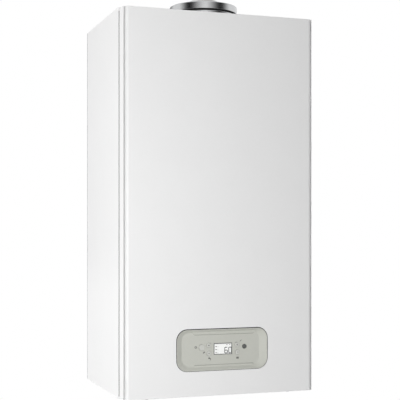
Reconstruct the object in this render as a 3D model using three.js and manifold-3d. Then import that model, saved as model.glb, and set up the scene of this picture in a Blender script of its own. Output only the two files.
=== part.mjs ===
// Wall-hung condensing combi boiler, as an assembly of separate pieces.
// Millimetres, +Z up, the front faces -Y and the wall face is at Y = 0. Heights are written from the casing's
// bottom edge, and the finished group is lowered so that its origin is on the wall face at the hanging line.

import * as THREE from 'three';
import { mergeVertices } from 'three/addons/utils/BufferGeometryUtils.js';
import Module from 'manifold-3d';

const wasm = await Module();
wasm.setup();

// ---------------------------------------------------------------- driving dimensions

// casing
const caseWidth = 400;
const caseHeight = 770;
const caseDepth = 319;
const sheet = 1; // casing sheet steel
const backSheet = 1.5; // back frame sheet steel
const gap = 0.3; // between pieces that touch
const hangHeight = 725; // hanging line above the casing's bottom
const slotSpacing = 240; // between the two hanging slots
const slotWidth = 12;
const slotHeight = 24;
const pocketWidth = 70; // pressed pocket round each hanging slot
const pocketHeight = 50;
const pocketDepth = 10;
const sideFlange = 12; // turned-in edges of the side panels
const rimInset = 5; // how far the rim under the cover stands in from the cover's skin
const rimFlange = 12; // turned-in front edge of the rim, which the seal presses on
const floorHeight = 12; // bottom plate above the casing's bottom
const floorStep = 8; // where the bottom plate steps down to its rim, behind the side's step

// front cover
const coverReturn = 33.5; // depth of the cover's sides
const grooveWidth = 9.5; // between the cover's sides and the side panels
const coverDrop = 5; // cover's top below the casing's top
const coverLift = 2; // cover's bottom above the casing's bottom
const coverBend = 4.5; // outer radius of the cover's upright edges
const coverFlange = 29; // cover's top and bottom flanges, front to back
const sealThickness = 7.4;
const sealWidth = 9;
const screwSpacing = 300;
const screwInset = 16; // behind the front face
const screwHeadRadius = 5;
const screwHeadHeight = 2;
const screwRadius = 2;
const screwClearance = 0.6;

// control panel and box
const fasciaX = 3.7; // centre of the fascia, right of the casing's middle
const fasciaHeight = 93.6; // centre of the fascia above the casing's bottom
const fasciaWidth = 192.7;
const fasciaTall = 82.4;
const fasciaCorner = 22;
const fasciaSetBack = 0.4; // fascia's rim behind the cover's face
const fasciaRecess = 8; // floor behind the cover's face
const fasciaWall = 2.5;
const fasciaDeep = 12.6; // rim to back edge
const fasciaSlope = 8; // run of the sloping walls
const fasciaClearance = 1; // between the fascia and the cover's cut-out
const boxWidth = 352;
const boxTall = 130;
const boxBottom = 36;
const boxSetBack = 7; // box front behind the cover's face
const boxDeep = 87;
const boxWall = 2.5;
const lidThickness = 6.5;
const boardThickness = 1.6;
const boardMargin = 20; // board edges inside the box
const boardSetBack = 4; // board behind the fascia's floor
const hingeSetBack = 8; // hinge axis behind the cover's face
const hingeHeight = 31;
const hingePinRadius = 4;
const hingeClearance = 0.25;
const hingeEarGap = 3; // ear to the side of the box
const hingeEarThickness = 2;
const hingeEar = 1.6; // ear round the pin's middle, in pin radii
const hingePinProud = 1.4; // pin past its ear
const hingeLugWidth = 8;
const lidCorner = 4;
const cavityFloor = 0.01; // flat part of the fascia's cavity
const windowWidth = 39.6;
const windowTall = 23.3;
const windowX = 7;
const windowHeight = 93.8;
const buttonProud = 1.2;
const buttonClearance = 0.4;
const buttonTravel = 0.8;

// flue outlet
const flueX = 0;
const flueSetOut = 212; // centre of the flue outlet, from the wall
const collarRadius = 70;
const collarHeight = 17.5;
const collarWall = 1.6;
const collarLip = 5; // rolled top edge, inwards
const airDuctRadius = 50; // bore that takes the 100 mm air duct
const flangeRadius = 69;
const flangeHeight = 5.7;
const gasketRadius = 67;
const gasketHeight = 1.4;
const flueRadius = 30; // outside of the inner 60 mm socket
const flueWall = 1.7;
const flueRise = 13; // inner socket above the collar
const socketLength = 68;
const webThickness = 3;
const webHeight = 6;
const webCount = 3;
const webTurn = 0.5; // first web's turn from +X, in radians
const exhaustEntry = 12; // exhaust pipe's reach into the stub below it
const exhaustExit = 15; // and into the socket above it
const exhaustRise = 32; // its straight run before it steps forward
const exhaustShift = 34; // height that it steps forward over
const exhaustBend = 35;
const knockoutX = -118;
const knockoutSetOut = 112;
const knockoutRadius = 41; // second air inlet, left closed
const knockoutRise = 1.2;

// heat exchanger and burner
const shellX = -49;
const shellHeight = 540;
const shellRadius = 100;
const shellWall = 3;
const shellBack = 98; // back of the shell from the wall
const shellLength = 134;
const shellFlange = 6;
const stubX = 0; // exhaust stub on top of the shell
const stubSetOut = 190;
const stubRise = 12; // exhaust stub above the shell's skin
const waterStubRadius = 9;
const waterStubBore = 6;
const waterStubHeight = 500;
const waterStubReach = 9; // past the shell's side at that height
const waterSetOut = 130;
const drainRadius = 10;
const drainDrop = 15; // drain stub below the shell's skin
const coilClearance = 5; // between the coil and the shell's inside
const coilDepth = 36; // between the coil's outer and inner radius
const coilTurns = 5;
const coilPitch = 20;
const coilWave = 4; // depth of the groove between turns
const doorThickness = 8;
const doorInset = 2; // door's edge inside the shell's skin
const doorLip = 6; // width of the door's thin edge
const doorLipThickness = 6;
const doorSlope = 4;
const burnerRadius = 34;
const burnerLength = 92;
const burnerWall = 1.5;

// fan and gas train
const fanX = 128;
const fanHeight = 600;
const fanRadius = 60;
const fanBack = 225; // back of the volute from the wall
const fanDeep = 40;
const fanWall = 4;
const fanInlet = 22;
const fanClearance = 8; // between the wheel's edge and the volute
const wheelGap = 5; // between the wheel's faces and the volute
const wheelPlate = 2;
const wheelHub = 10;
const bladeCount = 9;
const bladeLength = 22;
const bladeThickness = 2;
const ductTall = 38;
const ductBottom = 538;
const ductReach = 6; // duct past the volute's round side
const elbowDepth = 22; // elbow in front of the fan
const elbowInset = 2; // elbow's section inside the duct's
const elbowNeck = 23; // half of the elbow's width at the door
const elbowCorner = 8;
const elbowLift = 11; // elbow's back in front of the door
const elbowThroat = 32; // run over which the elbow narrows
const elbowSpigot = 5; // its round foot on the door
const fanMotorRadius = 38;
const fanMotorLength = 35;
const fanMotorPlate = 3;
const fanMotorCorner = 5;
const mixerRadius = 30;
const mixerLength = 58;
const mixerFlange = 6;
const mixerMouth = 8; // how far the mixer's mouth flares
const mixerMouthLength = 12;
const mixerBossBottom = 548;
const valveWidth = 80;
const valveDeep = 90;
const valveTall = 100;
const valveX = 140;
const valveBack = 95;
const valveStep = 12; // the valve's foot and head stand in by this from its sides
const valveFoot = 15;
const valveCoilRadius = 17;
const valveCoilReach = 26;
const valveCoilSpacing = 40;
const valveCoilDrop = 34; // below the valve's top
const gasPipeRadius = 7.5;
const gasPipeLift = 23; // gas pipe's cross run above the return pipe's
const gasPipeRise = 45; // gas valve above that cross run
const valveOutSetOut = 150;
const feedRise = 45; // gas feed pipe's first upright run
const feedStep = 20; // height that it steps forward over
const mixerBossSetOut = 190;

// expansion vessel
const vesselRadius = 160;
const vesselHeight = 515;
const vesselBack = 6;
const vesselDeep = 86;
const vesselWall = 1.5;
const vesselCrown = 8; // rise of the dished faces
const vesselShoulder = 32; // face to straight side
const vesselFlat = 0.8; // share of the radius where the dish turns down
const vesselSeam = 3;
const vesselNozzle = 8;
const vesselNozzleBore = 5;
const vesselNozzleLength = 14;
const vesselPipeBend = 12;
const vesselPipeDrop = 30; // length of each of the vessel pipe's first two falls
const vesselPipeShift = 16; // how far it moves back, behind the pump
const vesselPipeEntry = 25; // below the return manifold's top
const vesselPipeInset = 12; // inside the return manifold's outer side

// water side
const pipeSetOut = 110; // pipe tails, from the wall
const pipeSpacing = 67;
const largeThread = 13.2; // G 3/4 outside radius
const smallThread = 10.5; // G 1/2 outside radius
const threadWall = 3;
const tailBelow = 28; // tail ends below the casing's bottom
const manifoldInner = 50; // inner side of both manifolds, from the middle
const manifoldOuter = 178;
const manifoldBack = 50;
const manifoldFront = 150;
const manifoldBottom = 22;
const manifoldTop = 110;
const cornerWidth = 16; // notch in both manifolds' outer front corners
const cornerDeep = 22;
const stepWidth = 30; // step in their inner front corners
const stepDeep = 26;
const flowStepHeight = 34;
const returnStepHeight = 54;
const exchangerLeft = -84;
const exchangerGap = 8; // between the plate heat exchanger and the pump
const exchangerBack = 48;
const exchangerDeep = 50;
const exchangerBottom = 125;
const exchangerTall = 80;
const exchangerPlates = 10;
const exchangerEdge = 4; // depth of the groove between two plates
const plateGroove = 1.6;
const pumpX = 130;
const pumpLift = 6; // pump's round side above the return manifold
const pumpRadius = 52;
const pumpBack = 62;
const pumpDeep = 50;
const pumpWall = 8;
const pumpFootWidth = 50;
const pumpFootInset = 3;
const pumpMotorRadius = 44;
const pumpMotorLength = 88;
const pumpMotorPlate = 8;
const pumpMotorCorner = 6;
const impellerClearance = 6;
const impellerHub = 12;
const impellerDeep = 24;
const pumpOutletInset = 6; // outlet's middle inside the pump's round side
const pumpOutletRise = 5; // outlet above the pump's round side
const ventRadius = 15;
const ventHeight = 50;
const ventFoot = 3; // vent's seat above the pump's round side
const ventChamfer = 5;
const ventNozzleRadius = 6;
const ventNozzleLength = 10;
const copperRadius = 9;
const copperWall = 1;
const pipeBend = 15;
const returnRise = 37; // pump's outlet to where the return pipe steps forward
const flowPipeX = -168;
const flowPipeStep = [50, 90]; // heights above the flow manifold between which it steps back
const flowPipeInset = 25; // its foot in front of the manifold's back
const trapSetOut = 190;
const trapRadius = 26;
const trapTall = 130;
const trapNeck = 35; // between the trap and the drain stub
const trapShoulder = 14;
const trapFoot = 12;
const trapOutletRadius = 9;
const trapOutletBottom = -12;
const diverterX = -118;
const diverterSetOut = 122;
const diverterBore = 12.5;
const diverterFloor = 50;
const diverterDisc = 11;
const diverterDiscHeight = 6; // disc's thickness, and its height above the bore's floor
const diverterCone = 2;
const diverterStem = 3.5;
const diverterTravel = 8;
const diverterMotorWidth = 44;
const diverterMotorDeep = 52;
const diverterMotorTall = 66;
const diverterMotorCorner = 5;
const diverterCollarRadius = 17;
const diverterCollarTall = 14;
const diverterPlugReach = 6; // the motor's plug socket past its side
const diverterPlugWidth = 28;
const diverterPlugHeights = [20, 40];
const turbineBore = 9.5;
const turbineRadius = 8;
const turbineBottom = 34;
const turbineTall = 20;
const turbineHub = 2.6;
const turbineBlades = 3; // each goes right across
const turbineBlade = 1.2;
const turbineBladeInset = 3;
const turbineRoof = 12; // bore above the turbine
const reliefX = 110;
const reliefHeight = 60;
const reliefReach = 18;
const reliefBoss = 10;
const reliefKnobRadius = 14;
const reliefKnobLength = 20;
const reliefKnobCore = 11;
const reliefWing = 5;
const reliefWingInset = 3;
const fillX = 100;
const fillSetOut = 138;
const fillKnobRadius = 13;
const fillKnobBottom = -16;
const fillKnobTop = 4;
const fillKnobCore = 9;
const fillStem = 4;
const fillWing = 7;
const fillWingDrop = 6; // wings below the knob's top
const glandX = -110;
const glandSetOut = 200;
const glandRadius = 11;
const glandBore = 5;
const glandBottom = -2;
const glandChamfer = [2, 5]; // across and along
const glandNeck = 3; // gland's threaded part inside its nut
const glandTop = 8; // above the bottom plate
const holeClearance = 1.2;
const threadChamfer = [1, 1.5]; // across and along
const tailCollar = 4; // nut above the bottom plate, past the thread
const buttonEdge = [1, 0.6]; // chamfer of a button, across and along
const buttonFlange = 1;
const screwSlot = [6, 1.2]; // length and width of the slot in a screw's head

// ---------------------------------------------------------------- places worked out from them

const halfWidth = caseWidth / 2;
const frontY = -caseDepth;
const coverBackY = frontY + coverReturn;
const sideFrontY = coverBackY + grooveWidth;
const rimFrontY = frontY + sheet + sealThickness + 2 * gap;
const panelBackY = -(backSheet + sheet + 2 * gap);
const coverTop = caseHeight - coverDrop;
const coverBottom = coverLift;
const rimTop = coverTop - rimInset;
const rimBottom = coverBottom + rimInset;
const rimHalf = halfWidth - rimInset;
const rimInner = rimHalf - sheet - gap;
const flueY = -flueSetOut;
const trapX = shellX;
const collarBottom = caseHeight + gap + flangeHeight + gap + gasketHeight + gap;
const collarTop = collarBottom + collarHeight;
const shellFrontY = -(shellBack + shellLength);
const stubTop = shellHeight + shellRadius + stubRise;
const drainBottom = shellHeight - shellRadius - drainDrop;
const coilOuter = shellRadius - shellWall - coilClearance;
const coilInner = coilOuter - coilDepth;
const doorRadius = shellRadius - doorInset;
const trapTop = drainBottom - trapNeck;
const trapBottom = trapTop - trapTall;
const valveOutX = fanX;
const pumpHeight = manifoldTop + pumpLift + pumpRadius;
const pumpTop = pumpHeight + pumpRadius;
const pumpOutletX = pumpX - pumpRadius + pumpOutletInset;
const pumpOutletTop = pumpTop + pumpOutletRise;
const exchangerRight = pumpX - pumpRadius - exchangerGap;
const returnRun = pumpOutletTop + returnRise;
const gasPipeRun = returnRun + gasPipeLift;
const valveBottom = gasPipeRun + gasPipeRise;
const fanFrontY = -(fanBack + fanDeep);
const pipeY = -pipeSetOut;
const boxFrontY = frontY + boxSetBack;
const floorY = frontY + fasciaRecess;
const hingeY = frontY + hingeSetBack;
const screwY = frontY + screwInset;
const boxTop = boxBottom + boxTall;
const farOut = 1000; // past every face, for cuts that run out of a piece

// ---------------------------------------------------------------- finishes

const finish = (color, roughness, metalness) => (
  new THREE.MeshStandardMaterial({ color, roughness, metalness })
);
const whiteEnamel = finish(0xf1f2f3, 0.38, 0);
const zincSteel = finish(0xb9bdc0, 0.45, 0.9);
const polishedSteel = finish(0xc8cacc, 0.2, 1);
const blackRubber = finish(0x1b1c1d, 0.8, 0);
const castAluminium = finish(0xb4b7b9, 0.5, 0.9);
const stainless = finish(0xc3c5c6, 0.3, 1);
const greyComposite = finish(0x4a4d50, 0.6, 0);
const blackPlastic = finish(0x26282a, 0.5, 0);
const brass = finish(0xc9a75a, 0.35, 1);
const copper = finish(0xc27a52, 0.3, 1);
const greyPaint = finish(0x8d9195, 0.5, 0.1);
const fasciaGrey = finish(0xbcbdb6, 0.45, 0);
const buttonGrey = finish(0xc9cac6, 0.45, 0);
const displayWhite = finish(0xf4f5f3, 0.25, 0);
const boardGreen = finish(0x2f5d42, 0.5, 0);
const redPlastic = finish(0xa8322c, 0.4, 0);
const bluePlastic = finish(0x2e5f9a, 0.45, 0);

// ---------------------------------------------------------------- shape helpers

/** A closed solid from a three.js geometry, with its faces turned outwards. */
function solidOf(geometry) {
  const plain = geometry.clone();
  plain.deleteAttribute('normal');
  plain.deleteAttribute('uv');
  const merged = mergeVertices(plain);
  const corners = merged.attributes.position.array;
  const vertex = (i) => new THREE.Vector3().fromArray(corners, 3 * i);
  const faces = [];
  let volume = 0;
  for (let i = 0; i < merged.index.count; i += 3) {
    const [a, b, c] = [0, 1, 2].map((k) => merged.index.getX(i + k));
    if (a === b || b === c || c === a) continue;
    faces.push([a, b, c]);
    volume += vertex(a).dot(vertex(b).cross(vertex(c)));
  }
  const outward = volume > 0 ? faces : faces.map(([a, b, c]) => [a, c, b]);
  const mesh = new wasm.Mesh({
    numProp: 3,
    vertProperties: new Float32Array(corners),
    triVerts: new Uint32Array(outward.flat()),
  });
  return new wasm.Manifold(mesh);
}

/** The three.js geometry of a solid. */
function geometryOf(solid) {
  const mesh = solid.getMesh();
  const geometry = new THREE.BufferGeometry();
  geometry.setAttribute('position', new THREE.BufferAttribute(mesh.vertProperties, 3));
  geometry.setIndex(new THREE.BufferAttribute(mesh.triVerts, 1));
  geometry.computeVertexNormals();
  return geometry;
}

const joined = (first, ...others) => others.reduce((whole, next) => whole.add(next), first);
const cut = (base, ...tools) => tools.reduce((left, tool) => left.subtract(tool), base);

/** The two ends of a length about its middle. */
const about = (middle, length) => [middle - length / 2, middle + length / 2];

/** A block between two corners. */
function block([x0, x1], [y0, y1], [z0, z1]) {
  const geometry = new THREE.BoxGeometry(Math.abs(x1 - x0), Math.abs(y1 - y0), Math.abs(z1 - z0));
  geometry.translate((x0 + x1) / 2, (y0 + y1) / 2, (z0 + z1) / 2);
  return solidOf(geometry);
}

const unit = { x: new THREE.Vector3(1, 0, 0), y: new THREE.Vector3(0, 1, 0), z: new THREE.Vector3(0, 0, 1) };

/** Turns a geometry that is centred on Y so that it lies along an axis, at the two other coordinates. */
function alongAxis(geometry, axis, [a, b]) {
  if (axis === 'x') geometry.rotateZ(-Math.PI / 2).translate(0, a, b);
  if (axis === 'y') geometry.translate(a, 0, b);
  if (axis === 'z') geometry.rotateX(Math.PI / 2).translate(a, b, 0);
  return geometry;
}

/** A round bar along an axis, from one place on it to another, at the other two coordinates. */
function rod(axis, radius, [from, to], at, sides = 20) {
  const geometry = new THREE.CylinderGeometry(radius, radius, Math.abs(to - from), sides);
  geometry.translate(0, (from + to) / 2, 0);
  return solidOf(alongAxis(geometry, axis, at));
}

/** A turned piece: its profile is pairs of radius and place along the axis. */
function turned(axis, profile, at, sides = 24) {
  const points = profile.map(([radius, along]) => new THREE.Vector2(radius, along));
  return solidOf(alongAxis(new THREE.LatheGeometry(points, sides), axis, at));
}

/** A ring along an axis, from bore to outer radius. */
function ring(axis, [bore, outer], [from, to], at, sides = 32) {
  return turned(axis, [[bore, from], [outer, from], [outer, to], [bore, to], [bore, from]], at, sides);
}

/** An outline pushed along an axis. The outline is drawn in XY for z, in XZ for y and in YZ for x. */
function extruded(axis, shape, [from, to], curveSegments = 3) {
  const depth = to - from;
  const geometry = new THREE.ExtrudeGeometry(shape, { depth, bevelEnabled: false, curveSegments });
  const turn = new THREE.Matrix4();
  if (axis === 'x') turn.makeBasis(unit.y, unit.z, unit.x).setPosition(from, 0, 0);
  if (axis === 'y') turn.makeBasis(unit.x, unit.z, unit.y.clone().negate()).setPosition(0, to, 0);
  if (axis === 'z') turn.setPosition(0, 0, from);
  return solidOf(geometry.applyMatrix4(turn));
}

const outline = (points) => new THREE.Shape(points.map(([a, b]) => new THREE.Vector2(a, b)));

/** The outline of a sheet folded along a line of points; its thickness lies to the left of the line. */
function foldedSheet(points, thickness) {
  const line = points.map(([a, b]) => new THREE.Vector2(a, b));
  const leftOf = (p, q) => new THREE.Vector2(p.y - q.y, q.x - p.x).normalize();
  const inner = line.map((point, i) => {
    const before = i > 0 ? leftOf(line[i - 1], point) : leftOf(point, line[i + 1]);
    const after = i < line.length - 1 ? leftOf(point, line[i + 1]) : before;
    const middle = before.clone().add(after).normalize();
    return point.clone().addScaledVector(middle, thickness / middle.dot(before));
  });
  return new THREE.Shape([...line, ...inner.reverse()]);
}

/** A rectangle with rounded corners, about a centre. */
function roundedRectangle([width, tall], [a, b], radius) {
  const [left, right, low, high] = [a - width / 2, a + width / 2, b - tall / 2, b + tall / 2];
  const shape = new THREE.Shape();
  shape.moveTo(left + radius, low);
  shape.absarc(right - radius, low + radius, radius, -Math.PI / 2, 0);
  shape.absarc(right - radius, high - radius, radius, 0, Math.PI / 2);
  shape.absarc(left + radius, high - radius, radius, Math.PI / 2, Math.PI);
  shape.absarc(left + radius, low + radius, radius, Math.PI, 1.5 * Math.PI);
  return shape;
}

/** A pipe's centre line: straight runs joined by arcs, with stations at each end and along each arc. */
class PipeRoute extends THREE.Curve {
  constructor(corners, bend, arcSteps = 3) {
    super();
    const points = corners.map((corner) => new THREE.Vector3(...corner));
    const heading = points.slice(1).map((point, i) => point.clone().sub(points[i]).normalize());
    this.stations = [{ at: points[0], heading: heading[0] }];
    for (let i = 1; i < points.length - 1; i += 1) {
      const turn = heading[i - 1].angleTo(heading[i]);
      const start = points[i].clone().addScaledVector(heading[i - 1], -bend * Math.tan(turn / 2));
      const inward = heading[i].clone().projectOnPlane(heading[i - 1]).normalize();
      for (let k = 0; k <= arcSteps; k += 1) {
        const angle = (turn * k) / arcSteps;
        const at = start.clone().addScaledVector(heading[i - 1], bend * Math.sin(angle));
        at.addScaledVector(inward, bend * (1 - Math.cos(angle)));
        const towards = heading[i - 1].clone().multiplyScalar(Math.cos(angle));
        towards.addScaledVector(inward, Math.sin(angle));
        this.stations.push({ at, heading: towards });
      }
    }
    this.stations.push({ at: points.at(-1), heading: heading.at(-1) });
  }

  get steps() {
    return this.stations.length - 1;
  }

  station(t) {
    return this.stations[Math.round(t * this.steps)];
  }

  getPointAt(t, target = new THREE.Vector3()) {
    return target.copy(this.station(t).at);
  }

  getTangentAt(t, target = new THREE.Vector3()) {
    return target.copy(this.station(t).heading);
  }
}

/** A bent pipe through corners, open at both ends if it has a bore. */
function bentPipe(corners, bend, radius, bore, sides = 10) {
  const route = new PipeRoute(corners, bend);
  const section = new THREE.Shape().absarc(0, 0, radius, 0, 2 * Math.PI);
  section.holes.push(new THREE.Path().absarc(0, 0, bore, 0, 2 * Math.PI, true));
  const settings = { steps: route.steps, extrudePath: route, curveSegments: sides / 2 };
  return solidOf(new THREE.ExtrudeGeometry(section, settings));
}

const boiler = new THREE.Group();
boiler.position.z = -hangHeight;

/** Adds one piece to the boiler. */
function piece(name, material, solid) {
  const mesh = new THREE.Mesh(geometryOf(solid), material);
  mesh.name = name;
  boiler.add(mesh);
}

// ---------------------------------------------------------------- casing

const tails = [
  { name: 'heating_flow_tail', x: -2 * pipeSpacing, thread: largeThread },
  { name: 'hot_water_tail', x: -pipeSpacing, thread: smallThread },
  { name: 'gas_tail', x: 0, thread: largeThread },
  { name: 'cold_water_tail', x: pipeSpacing, thread: smallThread },
  { name: 'heating_return_tail', x: 2 * pipeSpacing, thread: largeThread },
];

/** Back frame with a pressed pocket and a hanging slot on each side. */
function addBackFrame() {
  let frame = block([-halfWidth, halfWidth], [-backSheet, 0], [0, caseHeight]);
  for (const x of [-slotSpacing / 2, slotSpacing / 2]) {
    const middle = hangHeight - slotHeight / 2;
    const pocketX = [x - pocketWidth / 2, x + pocketWidth / 2];
    const pocketZ = [middle - pocketHeight / 2, middle + pocketHeight / 2];
    const inside = ([low, high]) => [low + backSheet, high - backSheet];
    frame = frame.add(block(pocketX, [-pocketDepth - backSheet, 0], pocketZ));
    frame = frame.subtract(block(inside(pocketX), [-pocketDepth, farOut], inside(pocketZ)));
    const slotX = [x - slotWidth / 2, x + slotWidth / 2];
    frame = frame.subtract(block(slotX, [-farOut, farOut], [hangHeight - slotHeight, hangHeight]));
  }
  piece('back_frame', zincSteel, frame);
}

/** Side panel: flange at the back, skin, step in at the groove, rim and turned-in front edge. */
function addSidePanel(name, side) {
  const line = [
    [halfWidth - sideFlange, -backSheet - gap],
    [halfWidth, -backSheet - gap],
    [halfWidth, sideFrontY],
    [rimHalf, sideFrontY],
    [rimHalf, rimFrontY],
    [rimHalf - rimFlange, rimFrontY],
  ].map(([x, y]) => [side * x, y]);
  const shape = foldedSheet(side > 0 ? line.reverse() : line, sheet);
  const ahead = [-farOut, sideFrontY];
  const edge = [-farOut, rimFrontY + sheet + gap];
  const flangeSide = side > 0 ? [0, rimHalf - sheet] : [sheet - rimHalf, 0];
  piece(name, whiteEnamel, cut(
    extruded('z', shape, [0, caseHeight]),
    block([-farOut, farOut], ahead, [rimTop, farOut]),
    block([-farOut, farOut], ahead, [-farOut, rimBottom]),
    block(flangeSide, edge, [rimTop - rimFlange - gap, farOut]),
    block(flangeSide, edge, [-farOut, rimBottom + rimFlange + gap]),
  ));
}

/** Keeps a plate's rim between the side panels' rims. */
function narrowRim(plate) {
  const ahead = [-farOut, sideFrontY + sheet + gap];
  return cut(
    plate,
    block([rimInner, farOut], ahead, [-farOut, farOut]),
    block([-farOut, -rimInner], ahead, [-farOut, farOut]),
  );
}

/** Top panel: skin, step down to the rim, flue opening and a closed round plate for a second air inlet. */
function addTopPanel() {
  const half = halfWidth - sheet - gap;
  const line = [
    [panelBackY, caseHeight],
    [sideFrontY, caseHeight],
    [sideFrontY, rimTop],
    [rimFrontY, rimTop],
    [rimFrontY, rimTop - rimFlange],
  ];
  const flange = (x) => block(x, [sideFrontY + sheet, panelBackY], [caseHeight - sideFlange, caseHeight]);
  const knockoutAt = [knockoutX, -knockoutSetOut];
  const knockoutTop = caseHeight + knockoutRise;
  piece('top_panel', whiteEnamel, cut(
    joined(
      narrowRim(extruded('x', foldedSheet(line, sheet), [-half, half])),
      flange([-half, sheet - half]),
      flange([half - sheet, half]),
      rod('z', knockoutRadius, [caseHeight - sheet, knockoutTop], knockoutAt, 32),
    ),
    rod('z', knockoutRadius - sheet, [-farOut, knockoutTop - sheet], knockoutAt, 32),
    rod('z', airDuctRadius + sheet, [-farOut, farOut], [flueX, flueY], 48),
  ));
}

/** Bottom plate, sunk into the casing: pipe holes, cover screw slots and the control box's hinge ears. */
function addBottomPlate() {
  const half = halfWidth - sheet - gap;
  const stepY = sideFrontY + floorStep;
  const line = [
    [rimFrontY, rimBottom + rimFlange],
    [rimFrontY, rimBottom],
    [stepY, rimBottom],
    [stepY, floorHeight],
    [panelBackY, floorHeight],
  ];
  const flange = (x) => block(x, [sideFrontY + 2 * sheet, panelBackY], [sheet, floorHeight + sheet]);
  const ear = hingeEar * hingePinRadius;
  const earLine = [
    [rimFrontY + sheet / 2, rimBottom + sheet / 2],
    [rimFrontY + 2 * hingeSetBack, rimBottom + sheet / 2],
    [rimFrontY + 2 * hingeSetBack, hingeHeight],
    [hingeY + ear, hingeHeight + ear],
    [hingeY - ear, hingeHeight + ear],
    [hingeY - ear, hingeHeight - ear],
    [rimFrontY + sheet / 2, rimBottom + rimFlange + sheet],
  ];
  const earAt = boxWidth / 2 + hingeEarGap;
  const ears = [[earAt, earAt + hingeEarThickness], [-earAt - hingeEarThickness, -earAt]];
  let plate = joined(
    narrowRim(extruded('x', foldedSheet(line, sheet), [-half, half])),
    flange([-half, sheet - half]),
    flange([half - sheet, half]),
    ...ears.map((x) => extruded('x', outline(earLine), x)),
  );
  const hole = (radius, at) => rod('z', radius, [-farOut, farOut], at, 16);
  for (const tail of tails) plate = plate.subtract(hole(tail.thread + holeClearance, [tail.x, pipeY]));
  for (const x of [-screwSpacing / 2, screwSpacing / 2]) {
    const wide = screwRadius + screwClearance;
    plate = plate.subtract(block([x - wide, x + wide], [-farOut, screwY + wide], [-farOut, 2 * floorHeight]));
  }
  piece('bottom_plate', zincSteel, cut(
    plate,
    hole(trapOutletRadius + holeClearance, [trapX, -trapSetOut]),
    hole(glandRadius - 2 * gap, [glandX, -glandSetOut]),
    hole(fillKnobRadius / 2, [fillX, -fillSetOut]),
    rod('x', hingePinRadius + hingeClearance, [-farOut, farOut], [hingeY, hingeHeight], 16),
  ));
}

// ---------------------------------------------------------------- front cover

const fasciaOutline = (grow) => roundedRectangle(
  [fasciaWidth + 2 * grow, fasciaTall + 2 * grow],
  [fasciaX, fasciaHeight],
  fasciaCorner + grow,
);

/** The cover's plan outline, inset from its skin, from the front face back to a depth. */
function coverPlan(inset, backY) {
  const half = halfWidth - inset;
  const front = frontY + inset;
  const radius = coverBend - inset;
  const shape = new THREE.Shape();
  shape.moveTo(half, backY);
  shape.lineTo(-half, backY);
  shape.lineTo(-half, front + radius);
  shape.absarc(radius - half, front + radius, radius, Math.PI, 1.5 * Math.PI);
  shape.absarc(half - radius, front + radius, radius, 1.5 * Math.PI, 2 * Math.PI);
  return shape;
}

/** Cover pan with its cut-out for the control panel and its two screw holes. */
function addFrontCover() {
  const inside = [coverBottom + sheet, coverTop - sheet];
  const flangeY = frontY + coverFlange;
  piece('front_cover', whiteEnamel, cut(
    extruded('z', coverPlan(0, coverBackY), [coverBottom, coverTop]),
    extruded('z', coverPlan(sheet, farOut), inside),
    block([sheet - halfWidth, halfWidth - sheet], [flangeY, farOut], [-farOut, farOut]),
    extruded('y', fasciaOutline(fasciaClearance), [-farOut, frontY + 2 * sheet]),
    ...[-1, 1].map((side) => rod(
      'z',
      screwRadius + gap,
      [-farOut, coverBottom + 2 * sheet],
      [(side * screwSpacing) / 2, screwY],
    )),
  ));
  const sealY = [frontY + sheet + gap, rimFrontY - gap];
  const outer = [[-rimHalf, rimHalf], [rimBottom, rimTop]];
  const inner = outer.map(([low, high]) => [low + sealWidth, high - sealWidth]);
  piece('cover_seal', blackRubber, cut(
    block(outer[0], sealY, outer[1]),
    block(inner[0], [-farOut, farOut], inner[1]),
  ));
  for (const [name, side] of [['cover_screw_left', -1], ['cover_screw_right', 1]]) {
    const at = [(side * screwSpacing) / 2, screwY];
    const headTop = coverBottom - gap;
    piece(name, zincSteel, cut(
      joined(
        rod('z', screwHeadRadius, [headTop - screwHeadHeight, headTop], at, 20),
        rod('z', screwRadius, [headTop - sheet, rimBottom + rimFlange - sheet], at, 12),
      ),
      block(about(at[0], screwSlot[0]), about(at[1], screwSlot[1]), [-farOut, headTop - screwHeadHeight / 2]),
    ));
  }
}

// ---------------------------------------------------------------- control box

const buttons = [
  { name: 'on_off_button', x: -38, z: 97.2, radius: 6 },
  { name: 'hot_water_up_button', x: -23.2, z: 101.6, radius: 4.7 },
  { name: 'hot_water_down_button', x: -23, z: 85.3, radius: 4.7 },
  { name: 'heating_up_button', x: 37.4, z: 101, radius: 4.7 },
  { name: 'heating_down_button', x: 38.2, z: 85.9, radius: 4.7 },
  { name: 'reset_button', x: 53, z: 96.8, radius: 4.5 },
];

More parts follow.
